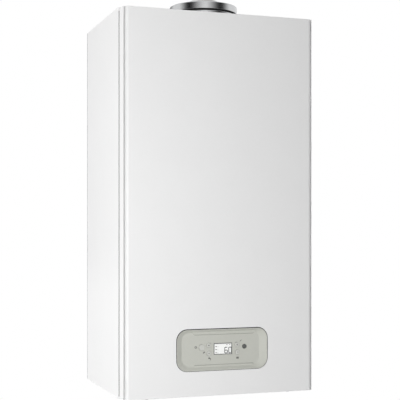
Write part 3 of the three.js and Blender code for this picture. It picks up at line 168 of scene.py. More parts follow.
def folded(line: Sequence[Pair], thickness: float, bend: float) -> list[Pair]:
    """The outline of a sheet folded along a line, with round bends. The sheet lies to the left of the line.

    Args:
        line: The corners of the sheet's outer side.
        thickness: The sheet's thickness.
        bend: Outer radius of its bends.

    Returns:
        The closed outline.
    """
    corners = [Vector(point) for point in line]

    def left(a: Vector, b: Vector) -> Vector:
        """Unit vector to the left of the way from a to b."""
        return Vector((a.y - b.y, b.x - a.x)).normalized()

    inner = []
    for i, point in enumerate(corners):
        before = left(corners[i - 1], point) if i else left(point, corners[1])
        after = left(point, corners[i + 1]) if i < len(corners) - 1 else before
        middle = (before + after).normalized()
        inner.append(tuple(point + middle * (thickness / middle.dot(before))))
    return rounded(line, bend) + rounded(inner, max(bend - thickness, 0.4))[::-1]


# ------------ bodies


class Axis(Enum):
    """The axis that a prism or a turned piece lies along."""

    X = "x"
    Y = "y"
    Z = "z"

    def point(self, flat: Pair, along: float) -> Vector:
        """The point at two coordinates across the axis, in the order xy, xz or yz, and one along it."""
        a, b = flat
        return Vector({"x": (along, a, b), "y": (a, along, b), "z": (a, b, along)}[self.value])


X, Y, Z = Axis


class Body:
    """A mesh body under construction, in millimetres from the casing's bottom edge."""

    def __init__(self, points: Iterable[Sequence[float]] = (), faces: Iterable[Sequence[int]] = ()) -> None:
        """Starts a body from points and faces."""
        self.points = [Vector(point) for point in points]
        self.faces = [tuple(face) for face in faces]

    @classmethod
    def prism(cls, axis: Axis, outline: Sequence[Pair], span: Span) -> "Body":
        """An outline pushed along an axis.

        Args:
            axis: The axis it is pushed along.
            outline: Its corners across that axis.
            span: Where it starts and ends.

        Returns:
            The closed body.
        """
        n = len(outline)
        points = [axis.point(flat, along) for along in span for flat in outline]
        sides = [(i, (i + 1) % n, n + (i + 1) % n, n + i) for i in range(n)]
        return cls(points, [tuple(range(n))[::-1], tuple(range(n, 2 * n)), *sides]).outward()

    @classmethod
    def block(cls, x: Span, y: Span, z: Span, radius: float = 0.0) -> "Body":
        """A block between three spans, its upright edges round if a radius is given."""
        return cls.prism(Z, rectangle(x, y, radius), z)

    @classmethod
    def loft(cls, rings: Sequence[Sequence[Sequence[float]]], closed: bool = False) -> "Body":
        """A skin over rings of as many points each.

        Args:
            rings: The rings, in order.
            closed: Whether the last ring joins the first; otherwise both ends are capped.

        Returns:
            The closed body.
        """
        n = len(rings[0])
        body = cls([point for line in rings for point in line])
        count = len(rings)
        for r in range(count if closed else count - 1):
            a, b = r * n, ((r + 1) % count) * n
            body.faces += [(a + i, a + (i + 1) % n, b + (i + 1) % n, b + i) for i in range(n)]
        if not closed:
            body.faces += [tuple(range(n))[::-1], tuple(range((count - 1) * n, count * n))]
        return body.outward()

    @classmethod
    def stacked(cls, stations: Iterable[tuple[Sequence[Pair], float]], closed: bool = False) -> "Body":
        """A skin over outlines across y, each with its place along y; closed joins the last to the first."""
        return cls.loft([[(x, y, z) for x, z in outline] for outline, y in stations], closed)

    @classmethod
    def group(cls, bodies: Iterable["Body"]) -> "Body":
        """Several bodies side by side in one mesh."""
        return cls().with_parts(*bodies)

    @classmethod
    def turned(cls, axis: Axis, profile: Sequence[Pair], at: Pair, sides: int = 64) -> "Body":
        """A turned body. A profile that starts and ends on the axis is solid, any other closes on itself.

        Args:
            axis: The axis it is turned about.
            profile: Pairs of radius and place along the axis.
            at: The axis's two other coordinates.
            sides: Number of steps round.

        Returns:
            The closed body.
        """
        solid = profile[0][0] < 1e-6 and profile[-1][0] < 1e-6
        body = cls()
        starts = []
        for radius, along in profile:
            starts.append(len(body.points))
            steps = 1 if radius < 1e-6 else sides
            flats = circle(at, radius, steps) if steps > 1 else [at]
            body.points += [axis.point(flat, along) for flat in flats]
        pairs = list(zip(range(len(profile)), range(1, len(profile))))
        if not solid:
            pairs.append((len(profile) - 1, 0))
        for a, b in pairs:
            tip_a, tip_b = profile[a][0] < 1e-6, profile[b][0] < 1e-6
            for i in range(sides):
                j = (i + 1) % sides
                low = [starts[a]] if tip_a else [starts[a] + i, starts[a] + j]
                high = [starts[b]] if tip_b else [starts[b] + j, starts[b] + i]
                if len(low) + len(high) > 2:
                    body.faces.append(tuple(low + high))
        return body.outward()

    @classmethod
    def rod(
        cls, axis: Axis, radius: float, span: Span, at: Pair, edge: float = 0.0, sides: int = 32
    ) -> "Body":
        """A round bar.

        Args:
            axis: The axis it lies along.
            radius: Its radius.
            span: Where it starts and ends.
            at: The axis's two other coordinates.
            edge: Radius of its rounded ends, or 0 for sharp ones.
            sides: Number of steps round.

        Returns:
            The closed body.
        """
        low, high = sorted(span)
        line = [(0.0, low), (radius, low), (radius, high), (0.0, high)]
        return cls.turned(axis, rounded(line, edge, steps=3) if edge else line, at, sides)

    @classmethod
    def pipe(
        cls, corners: Sequence[Triple], bend: float, radius: float, bore: float, sides: int = 24
    ) -> "Body":
        """A bent pipe through corners, open at both ends.

        Args:
            corners: The centre line's corners.
            bend: Radius of its bends.
            radius: Outer radius.
            bore: Radius of the bore, or 0 for a solid bar.
            sides: Number of steps round.

        Returns:
            The closed body.
        """
        stations = route(corners, bend)
        across = stations[0][1].orthogonal().normalized()
        frames = []
        for at, heading in stations:
            across = (across - heading * across.dot(heading)).normalized()
            frames.append((at, across.copy(), heading.cross(across)))
        turns = [2 * math.pi * i / sides for i in range(sides)]

        def ring(place: tuple[Vector, Vector, Vector], size: float) -> list[Vector]:
            """The ring of points round one station."""
            at, u, v = place
            return [at + (u * math.cos(t) + v * math.sin(t)) * size for t in turns]

        rings = [ring(place, radius) for place in frames]
        if bore:
            return cls.loft(rings + [ring(place, bore) for place in reversed(frames)], closed=True)
        return cls.loft(rings)

    def outward(self) -> "Body":
        """Turns the faces outwards."""
        work = self.to_bmesh()
        bmesh.ops.recalc_face_normals(work, faces=work.faces)
        self.faces = [tuple(vertex.index for vertex in face.verts) for face in work.faces]
        work.free()
        return self

    def to_bmesh(self) -> bmesh.types.BMesh:
        """The body as a bmesh."""
        work = bmesh.new()
        vertices = [work.verts.new(point) for point in self.points]
        work.verts.index_update()
        for face in self.faces:
            work.faces.new([vertices[i] for i in face])
        return work

    def with_parts(self, *others: "Body") -> "Body":
        """This body and others, side by side in one mesh.

        Args:
            others: The other bodies.

        Returns:
            The new body.
        """
        whole = Body(self.points, self.faces)
        for other in others:
            base = len(whole.points)
            whole.points += other.points
            whole.faces += [tuple(base + i for i in face) for face in other.faces]
        return whole

    def moved(self, x: float = 0.0, y: float = 0.0, z: float = 0.0) -> "Body":
        """A copy moved by a step."""
        return Body([point + Vector((x, y, z)) for point in self.points], self.faces)

    def spun(self, axis: Axis, degrees: float) -> "Body":
        """A copy turned about an axis through the origin."""
        turn = Matrix.Rotation(math.radians(degrees), 3, axis.value.upper())
        return Body([turn @ point for point in self.points], self.faces)

    def ringed(self, axis: Axis, at: Pair, count: int, start: float = 0.0) -> list["Body"]:
        """Copies of this body, modelled about the origin, spaced evenly round an axis.

        Args:
            axis: The axis they stand round.
            at: The axis's two other coordinates.
            count: Number of copies.
            start: Angle of the first copy, in degrees.

        Returns:
            The copies.
        """
        place = axis.point(at, 0.0)
        return [self.spun(axis, start + 360.0 * k / count).moved(*place) for k in range(count)]

    def boolean(self, operation: str, *tools: "Body") -> "Body":
        """This body after an exact boolean with each tool in turn.

        Args:
            operation: The modifier's operation.
            tools: The tools.

        Returns:
            The new body.
        """
        holder = self.to_object("draft")
        helpers = [tool.to_object("tool") for tool in tools]
        for helper in helpers:
            step = holder.modifiers.new("cut", "BOOLEAN")
            step.operation = operation
            step.solver = "EXACT"
            step.object = helper
        bpy.context.view_layer.update()
        made = holder.evaluated_get(bpy.context.evaluated_depsgraph_get()).to_mesh()
        points = [vertex.co.copy() for vertex in made.vertices]
        faces = [tuple(face.vertices) for face in made.polygons]
        for extra in (holder, *helpers):
            mesh = extra.data
            bpy.data.objects.remove(extra)
            bpy.data.meshes.remove(mesh)
        return Body(points, faces)

    def cut(self, *tools: "Body") -> "Body":
        """This body less its tools."""
        return self.boolean("DIFFERENCE", *tools)

    def union(self, *others: "Body") -> "Body":
        """This body fused with others."""
        return self.boolean("UNION", *others)

    def common(self, *others: "Body") -> "Body":
        """What this body shares with others."""
        return self.boolean("INTERSECT", *others)

    def to_object(self, name: str) -> bpy.types.Object:
        """The body as an object, still in millimetres.

        Args:
            name: The object's name.

        Returns:
            The object, linked to the scene.
        """
        mesh = bpy.data.meshes.new(name)
        mesh.from_pydata([tuple(point) for point in self.points], [], self.faces)
        holder = bpy.data.objects.new(name, mesh)
        bpy.context.scene.collection.objects.link(holder)
        return holder


def route(corners: Sequence[Triple], bend: float, steps: int = 7) -> list[tuple[Vector, Vector]]:
    """A pipe's centre line: straight runs joined by arcs.

    Args:
        corners: The line's corners.
        bend: Radius of its bends.
        steps: Steps in each bend.

    Returns:
        Each station's place and heading.
    """
    points = [Vector(corner) for corner in corners]
    headings = [(b - a).normalized() for a, b in zip(points, points[1:])]
    stations = [(points[0], headings[0])]
    for i in range(1, len(points) - 1):
        before, after = headings[i - 1], headings[i]
        turn = before.angle(after)
        reach = bend * math.tan(turn / 2)
        start = points[i] - before * reach
        inward = (after - before * after.dot(before)).normalized()
        for k in range(steps + 1):
            angle = turn * k / steps
            at = start + before * (bend * math.sin(angle)) + inward * (bend * (1 - math.cos(angle)))
            stations.append((at, before * math.cos(angle) + inward * math.sin(angle)))
    stations.append((points[-1], headings[-1]))
    return stations


# ------------ node groups


def node_group(
    name: str, inputs: dict[str, Value], output: tuple[str, str]
) -> tuple[Tree, bpy.types.Node, bpy.types.Node]:
    """Starts a shader node group.

    Args:
        name: The group's name.
        inputs: Each input's name and default: three numbers make a vector, four a colour, one a value.
        output: The output's name and socket type.

    Returns:
        The tree, its input node and its output node.
    """
    tree = bpy.data.node_groups.new(name, "ShaderNodeTree")
    for label, default in inputs.items():
        length = len(default) if isinstance(default, tuple) else 1
        kind = {1: "NodeSocketFloat", 3: "NodeSocketVector", 4: "NodeSocketColor"}[length]
        socket = tree.interface.new_socket(name=label, in_out="INPUT", socket_type=kind)
        socket.default_value = default
    tree.interface.new_socket(name=output[0], in_out="OUTPUT", socket_type=output[1])
    return tree, tree.nodes.new("NodeGroupInput"), tree.nodes.new("NodeGroupOutput")


def feed(tree: Tree, value: Value, socket: Socket) -> None:
    """Links a socket to an input, or sets the input to a constant.

    Args:
        tree: The tree that holds the input.
        value: A socket or a constant.
        socket: The input.
    """
    if isinstance(value, Socket):
        tree.links.new(value, socket)
    else:
        socket.default_value = value


def math_node(tree: Tree, operation: str, first: Value, second: Value) -> Socket:
    """A Math node on two sockets or numbers.

    Args:
        tree: The tree it stands in.
        operation: The node's operation.
        first: A socket or a number.
        second: A socket or a number.

    Returns:
        The node's output.
    """
    node = tree.nodes.new("ShaderNodeMath")
    node.operation = operation
    feed(tree, first, node.inputs[0])
    feed(tree, second, node.inputs[1])
    return node.outputs[0]


def noise_node(tree: Tree, vector: Socket, scale: Value, detail: float = 3.0) -> Socket:
    """A Noise Texture.

    Args:
        tree: The tree it stands in.
        vector: Where it is read.
        scale: Its scale.
        detail: Its detail.

    Returns:
        The noise's factor.
    """
    node = tree.nodes.new("ShaderNodeTexNoise")
    node.inputs["Detail"].default_value = detail
    tree.links.new(vector, node.inputs["Vector"])
    feed(tree, scale, node.inputs["Scale"])
    return node.outputs["Fac"]


def range_node(tree: Tree, value: Socket, source: Span, low: Value, high: Value) -> Socket:
    """A smooth Map Range.

    Args:
        tree: The tree it stands in.
        value: The value that it maps.
        source: The span that it maps from.
        low: The end that the span's start maps to.
        high: The end that the span's end maps to.

    Returns:
        The mapped value.
    """
    node = tree.nodes.new("ShaderNodeMapRange")
    node.interpolation_type = "SMOOTHSTEP"
    tree.links.new(value, node.inputs["Value"])
    node.inputs["From Min"].default_value = source[0]
    node.inputs["From Max"].default_value = source[1]
    feed(tree, low, node.inputs["To Min"])
    feed(tree, high, node.inputs["To Max"])
    return node.outputs["Result"]


def make_mottle() -> Tree:
    """Slow and fine shifts of a colour, from moulding, rolling or firing."""
    inputs = {"Vector": (0.0, 0.0, 0.0), "Color": (0.8, 0.8, 0.8, 1.0), "Scale": 20.0, "Amount": 0.05}
    tree, given, result = node_group("mottle", inputs, ("Color", "NodeSocketColor"))
    fine = math_node(tree, "MULTIPLY", given.outputs["Scale"], 11.0)
    wide = noise_node(tree, given.outputs["Vector"], given.outputs["Scale"])
    close = noise_node(tree, given.outputs["Vector"], fine, 5.0)
    both = math_node(tree, "MULTIPLY", math_node(tree, "ADD", wide, close), 0.5)
    low = math_node(tree, "SUBTRACT", 1.0, given.outputs["Amount"])
    high = math_node(tree, "ADD", 1.0, given.outputs["Amount"])
    factor = range_node(tree, both, (0.35, 0.65), low, high)
    scale = tree.nodes.new("ShaderNodeVectorMath")
    scale.operation = "SCALE"
    tree.links.new(given.outputs["Color"], scale.inputs[0])
    tree.links.new(factor, scale.inputs["Scale"])
    tree.links.new(scale.outputs[0], result.inputs["Color"])
    return tree


def make_grain() -> Tree:
    """Height of a fine grain: orange peel on enamel, sand on castings, streaks on drawn metal."""
    inputs = {"Vector": (0.0, 0.0, 0.0), "Stretch": (1.0, 1.0, 1.0), "Scale": 900.0, "Sharpness": 0.5}
    tree, given, result = node_group("grain", inputs, ("Height", "NodeSocketFloat"))
    stretch = tree.nodes.new("ShaderNodeVectorMath")
    stretch.operation = "MULTIPLY"
    tree.links.new(given.outputs["Vector"], stretch.inputs[0])
    tree.links.new(given.outputs["Stretch"], stretch.inputs[1])
    soft = noise_node(tree, stretch.outputs[0], given.outputs["Scale"], 1.0)
    double = math_node(tree, "MULTIPLY", given.outputs["Scale"], 2.7)
    sharp = noise_node(tree, stretch.outputs[0], double, 4.0)
    fine = math_node(tree, "MULTIPLY", sharp, given.outputs["Sharpness"])
    tree.links.new(math_node(tree, "ADD", soft, fine), result.inputs["Height"])
    return tree


def make_edge_wear() -> Tree:
    """Mask of rubbed outer edges."""
    inputs = {"Vector": (0.0, 0.0, 0.0), "Amount": 0.5}
    tree, given, result = node_group("edge_wear", inputs, ("Mask", "NodeSocketFloat"))
    geometry = tree.nodes.new("ShaderNodeNewGeometry")
    edge = range_node(tree, geometry.outputs["Pointiness"], (0.53, 0.6), 0.0, 1.0)
    patch = range_node(tree, noise_node(tree, given.outputs["Vector"], 160.0, 6.0), (0.4, 0.6), 0.0, 1.0)
    worn = math_node(tree, "MULTIPLY", edge, patch)
    tree.links.new(math_node(tree, "MULTIPLY", worn, given.outputs["Amount"]), result.inputs["Mask"])
    return tree


def make_dust() -> Tree:
    """Mask of thin dust on faces that look up."""
    inputs = {"Vector": (0.0, 0.0, 0.0), "Amount": 0.3}
    tree, given, result = node_group("dust", inputs, ("Mask", "NodeSocketFloat"))
    geometry = tree.nodes.new("ShaderNodeNewGeometry")
    split = tree.nodes.new("ShaderNodeSeparateXYZ")
    tree.links.new(geometry.outputs["Normal"], split.inputs[0])
    upward = range_node(tree, split.outputs["Z"], (0.6, 1.0), 0.0, 1.0)
    patch = range_node(tree, noise_node(tree, given.outputs["Vector"], 35.0, 8.0), (0.35, 0.7), 0.1, 1.0)
    lying = math_node(tree, "MULTIPLY", upward, patch)
    tree.links.new(math_node(tree, "MULTIPLY", lying, given.outputs["Amount"]), result.inputs["Mask"])
    return tree


DUST_COLOR = "#b9b4aa"
GROUPS = {"mottle": make_mottle(), "grain": make_grain(), "edge_wear": make_edge_wear(), "dust": make_dust()}


# ------------ finishes


def tint(code: str) -> tuple[float, float, float, float]:
    """A colour as the linear values that a shader takes.

    Args:
        code: The colour's web code.

    Returns:
        Its red, green, blue and alpha.
    """
    parts = [int(code[i:i + 2], 16) / 255 for i in (1, 3, 5)]
    linear = [c / 12.92 if c <= 0.04045 else ((c + 0.055) / 1.055) ** 2.4 for c in parts]
    return (*linear, 1.0)


class Texture(Enum):
    """How a surface is worked: its grain's stretch, scale per metre, sharpness and depth in metres."""

    ENAMEL = ((1.0, 1.0, 1.0), 420.0, 0.05, 0.00003)
    MOULDED = ((1.0, 1.0, 1.0), 1500.0, 0.7, 0.00004)
    CAST = ((1.0, 1.0, 1.0), 700.0, 1.0, 0.00016)
    SPANGLED = ((1.0, 1.0, 1.0), 150.0, 0.6, 0.00003)
    SPUN = ((0.04, 0.04, 1.0), 1600.0, 0.5, 0.00002)
    DRAWN = ((1.0, 1.0, 0.2), 600.0, 0.4, 0.00002)
    SMOOTH = ((1.0, 1.0, 1.0), 250.0, 0.1, 0.00001)


@dataclass(frozen=True)
class Finish:
    """One finish: colour, gloss and how the surface is worked, worn and dusted.

    Attributes:
        name: The material's name.
        slot: The record's material slot.
        color: Web code of the colour.
        roughness: Its least and greatest roughness.
        metallic: 0 or 1.
        texture: How the surface is worked.
        mottle: Share by which the colour shifts.
        mottle_scale: Scale of those shifts, per metre.
        worn_color: Web code of a rubbed edge.
        wear: How much its edges are rubbed.
        dust: How much dust lies on it.
        coat: Weight of a clear coat.
        glow: Strength of its own light.
    """

    name: str
    slot: str
    color: str
    roughness: Span = (0.35, 0.45)
    metallic: float = 0.0
    texture: Texture = Texture.MOULDED
    mottle: float = 0.03
    mottle_scale: float = 18.0
    worn_color: str = "#d8d8d6"
    wear: float = 0.0
    dust: float = 0.0
    coat: float = 0.0
    glow: float = 0.0

    def material(self) -> bpy.types.Material:
        """The finish as a material, built once."""
        made = bpy.data.materials.get(f"finish_{self.name}")
        return made or self._build()

    def _group(self, tree: Tree, name: str, coords: Socket, **values: Value) -> Socket:
        """Places a node group and sets its inputs.

        Args:
            tree: The material's tree.
            name: The group's name.
            coords: Where the group is read.
            values: Its other inputs.

        Returns:
            The group's output.
        """
        node = tree.nodes.new("ShaderNodeGroup")
        node.node_tree = GROUPS[name]
        tree.links.new(coords, node.inputs["Vector"])
        for label, value in values.items():
            feed(tree, value, node.inputs[label])
        return node.outputs[0]

    def _blend(self, tree: Tree, mask: Socket, color: Socket, other: str) -> Socket:
        """Mixes a colour with another one.

        Args:
            tree: The material's tree.
            mask: Share of the other colour.
            color: The colour below.
            other: Web code of the other colour.

        Returns:
            The mixed colour.
        """
        mix = tree.nodes.new("ShaderNodeMix")
        mix.data_type = "RGBA"
        tree.links.new(mask, mix.inputs["Factor"])
        tree.links.new(color, mix.inputs["A"])
        mix.inputs["B"].default_value = tint(other)
        return mix.outputs["Result"]

    def _build(self) -> bpy.types.Material:
        """Builds the material's nodes."""
        material = bpy.data.materials.new(f"finish_{self.name}")
        material.use_nodes = True
        tree = material.node_tree
        shader = tree.nodes["Principled BSDF"]
        coords = tree.nodes.new("ShaderNodeTexCoord").outputs["Object"]
        color = self._group(
            tree, "mottle", coords, Color=tint(self.color), Scale=self.mottle_scale, Amount=self.mottle
        )
        if self.wear:
            rubbed = self._group(tree, "edge_wear", coords, Amount=self.wear)
            color = self._blend(tree, rubbed, color, self.worn_color)
        if self.dust:
            color = self._blend(tree, self._group(tree, "dust", coords, Amount=self.dust), color, DUST_COLOR)
        tree.links.new(color, shader.inputs["Base Color"])
        stretch, scale, sharpness, depth = self.texture.value
        height = self._group(tree, "grain", coords, Stretch=stretch, Scale=scale, Sharpness=sharpness)
        smudges = noise_node(tree, coords, self.mottle_scale * 2.3, 5.0)
        tree.links.new(range_node(tree, smudges, (0.3, 0.7), *self.roughness), shader.inputs["Roughness"])
        bump = tree.nodes.new("ShaderNodeBump")
        bump.inputs["Strength"].default_value = 1.0
        bump.inputs["Distance"].default_value = depth
        tree.links.new(height, bump.inputs["Height"])
        tree.links.new(bump.outputs["Normal"], shader.inputs["Normal"])
        shader.inputs["Metallic"].default_value = self.metallic
        if self.coat:
            shader.inputs["Coat Weight"].default_value = self.coat
            shader.inputs["Coat Roughness"].default_value = 0.15
        if self.glow:
            tree.links.new(color, shader.inputs["Emission Color"])
            shader.inputs["Emission Strength"].default_value = self.glow
        return material


ENAMEL = Finish("white_enamel", "white_enamel", "#f2f2f2", (0.36, 0.44), texture=Texture.ENAMEL, mottle=0.006)
ZINC = Finish(
    "galvanised_sheet", "zinc_steel", "#aeb2b4", (0.3, 0.5), 1.0, Texture.SPANGLED,
    0.1, 60.0, "#e1e2e2", 0.3, 0.05,
)
POLISHED = Finish("polished_collar", "polished_steel", "#c8c9ca", (0.13, 0.2), 1.0, Texture.SPUN, 0.03)
# painted shade: dark grey for a strip in the groove beside the cover, where the groove lies in shade
GROOVE_SHADE = Finish("groove_painted_shade", "black_rubber", "#2e2f2f", (0.55, 0.7), mottle=0.02)
RUBBER = Finish("black_rubber", "black_rubber", "#17181a", (0.6, 0.8), dust=0.04)
CAST = Finish(
    "cast_aluminium", "cast_aluminium", "#a9adaf", (0.42, 0.6), 1.0, Texture.CAST,
    0.06, 40.0, "#dfe0e0", 0.4, 0.08,
)
STAINLESS = Finish("stainless", "stainless", "#bfc1c1", (0.3, 0.38), 1.0, Texture.SMOOTH, 0.03, 30.0)
COMPOSITE = Finish(
    "grey_composite", "grey_composite", "#43474a", (0.4, 0.58), 0.0, Texture.MOULDED,
    0.04, 30.0, "#8a8d8f", 0.15, 0.06,
)
BLACK = Finish(
    "black_plastic", "black_plastic", "#222426", (0.38, 0.55), 0.0, Texture.MOULDED,
    0.04, 26.0, "#6c6f71", 0.12, 0.06,
)
BRASS = Finish("brass", "brass", "#c3a05a", (0.24, 0.4), 1.0, Texture.DRAWN, 0.1, 60.0, "#e9d29a", 0.4, 0.1)
COPPER = Finish(
    "copper", "copper", "#b8714c", (0.2, 0.42), 1.0, Texture.DRAWN,
    0.16, 45.0, "#e2a783", 0.2, 0.1,
)
GREY_PAINT = Finish(
    "grey_paint", "grey_paint", "#858a8e", (0.35, 0.5), 0.0, Texture.ENAMEL,
    0.03, 20.0, "#b9bcbd", 0.15, 0.1,
)
FASCIA = Finish("fascia_grey", "fascia_grey", "#c8c9c1", (0.42, 0.52), mottle=0.012)
BUTTON = Finish("button_grey", "button_grey", "#cfd0ca", (0.4, 0.5), mottle=0.012)
# darker grey for strokes along the ledges' feet: painted shade
CREASE_SHADE = Finish("fascia_painted_shade", "fascia_grey", "#9fa09a", (0.5, 0.6), mottle=0.02)
RESET = Finish("dark_button", "dark_button", "#5c5e5c", (0.4, 0.5), mottle=0.03)
DISPLAY = Finish(
    "display_white", "display", "#f6f7f5", (0.12, 0.2), texture=Texture.SMOOTH,
    mottle=0.01, glow=0.12,
)
INK = Finish("panel_ink", "fascia_grey", "#4b4c4a", (0.45, 0.55), texture=Texture.SMOOTH)
BEZEL = Finish("display_border", "display", "#6d6f6e", (0.3, 0.4), texture=Texture.SMOOTH)
SEGMENT = Finish("display_segment", "display", "#3a3c3d", (0.2, 0.3), texture=Texture.SMOOTH)
BOARD = Finish("board_green", "board_green", "#2b5a40", (0.3, 0.45), mottle=0.12, mottle_scale=90.0, dust=0.1)
RED = Finish("red_plastic", "red_plastic", "#a5302a", (0.32, 0.45), dust=0.1)
BLUE = Finish("blue_plastic", "blue_plastic", "#2c5c97", (0.35, 0.48), dust=0.1)
CERAMIC = Finish("white_ceramic", "white_enamel", "#e9e5da", (0.15, 0.25), texture=Texture.SMOOTH, coat=0.4)
CABLE = Finish("cable_sleeve", "black_rubber", "#2b2c2f", (0.4, 0.55), dust=0.05)
PALE_FLOOR = Finish("pale_floor", "", "#f2f2f1", (0.6, 0.7), texture=Texture.SMOOTH)
PALE_SOCKET = Finish("pale_socket", "polished_steel", "#eeeeed", (0.35, 0.45), 0.0, Texture.SPUN, 0.02)


# ------------ adding pieces


def add(
    name: str,
    body: Body,
    finish: Finish,
    rides: str = ROOT,
    stands_for: Sequence[str] = (),
    edge: float = 0.0,
    sharp: float = 35.0,
) -> bpy.types.Object:
    """Adds one piece to the boiler: its mesh, edges, finish and body.

    Args:
        name: The piece's name.
        body: Its body, in millimetres.
        finish: Its finish.
        rides: The frame's body that carries it.
        stands_for: CAD nodes that it stands for.
        edge: Width of its rounded edges in millimetres, or 0 for none.
        sharp: Least angle of an edge that stays sharp or is rounded, in degrees.

    Returns:
        The piece.
    """
    piece = body.to_object(name)
    piece.name = name
    drop = Matrix.Translation((0.0, 0.0, -HANGING_LINE * MM)) @ Matrix.Scale(MM, 4)
    piece.data.transform(drop)
    work = bmesh.new()
    work.from_mesh(piece.data)
    bmesh.ops.remove_doubles(work, verts=work.verts, dist=1e-6)
    bmesh.ops.recalc_face_normals(work, faces=work.faces)
    work.to_mesh(piece.data)
    work.free()
    piece.data.shade_smooth()
    piece.data.set_sharp_from_angle(angle=math.radians(sharp))
    if edge:
        bevel = piece.modifiers.new("rounded_edges", "BEVEL")
        bevel.width = edge * MM
        bevel.segments = 3
        bevel.limit_method = "ANGLE"
        bevel.angle_limit = math.radians(sharp)
        bevel.miter_outer = "MITER_ARC"
    weigh = piece.modifiers.new("flat_faces", "WEIGHTED_NORMAL")
    weigh.keep_sharp = True
    weigh.weight = 90
    piece.data.materials.append(finish.material())
    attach(piece, rides)
    if stands_for:
        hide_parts(*stands_for)
    log.info("%s: %d faces on %s", name, len(piece.data.polygons), rides)
    return piece


# ------------ small parts that repeat


def nut(axis: Axis, across: float, span: Span, at: Pair, bore: float = 0.0) -> Body:
    """A hexagon with chamfered corners, such as a nut or a union.

    Args:
        axis: The axis it lies along.
        across: Its width across the flats.
        span: Where it starts and ends.
        at: The axis's two other coordinates.
        bore: Radius of its bore, or 0 for none.

    Returns:
        The closed body.
    """
    low, high = sorted(span)
    flat, corner = across / 2, across / math.sqrt(3)
    slope = 0.6 * (corner - flat)
    line = [(0.0, low), (flat, low), (corner, low + slope), (corner, high - slope), (flat, high), (0.0, high)]
    body = Body.prism(axis, circle(at, corner, 6, 30.0), (low - 0.2, high + 0.2))
    body = body.common(Body.turned(axis, line, at, 48))
    return body.cut(Body.rod(axis, bore, (low - 1.0, high + 1.0), at)) if bore else body


def screws(
    axis: Axis, face: float, out: float, spots: Sequence[Pair], radius: float, tall: float = 2.4
) -> Body:
    """Screw heads with a round socket, standing on a face.

    Args:
        axis: The screws' axis.
        face: Place of the face along it.
        out: 1 or -1, the way the heads stand.
        spots: The axis's two other coordinates for each screw.
        radius: Radius of a head.
        tall: Height of a head.

    Returns:
        All heads in one body.
    """
    line = [(0.0, -0.5), (radius, -0.5), (radius, 0.7 * tall), (0.86 * radius, tall), (0.5 * radius, tall)]
    line += [(0.4 * radius, 0.4 * tall), (0.0, 0.4 * tall)]
    profile = [(r, face + out * along) for r, along in line]
    return Body.group([Body.turned(axis, profile, spot, 24) for spot in spots])


def ribbed(
    axis: Axis, radius: float, span: Span, at: Pair, pitch: float, deep: float, bore: float = 0.0
) -> Body:
    """A round piece with rings pressed or cut into it, such as a thread or a corrugated sleeve.

    Args:
        axis: The axis it lies along.
        radius: Its greatest radius.
        span: Where it starts and ends.
        at: The axis's two other coordinates.
        pitch: Distance between two rings.
        deep: Depth of the grooves.
        bore: Radius of its bore, or 0 for none.

    Returns:
        The closed body.
    """
    low, high = sorted(span)
    count = max(1, round((high - low) / pitch))
    step = (high - low) / count
    line = [(bore, low)]
    for k in range(count):
        start = low + k * step
        line += [(radius - deep, start), (radius, start + 0.4 * step), (radius, start + 0.6 * step)]
    line += [(radius - deep, high), (bore, high)]
    return Body.turned(axis, line, at, 40)


# ------------ casing


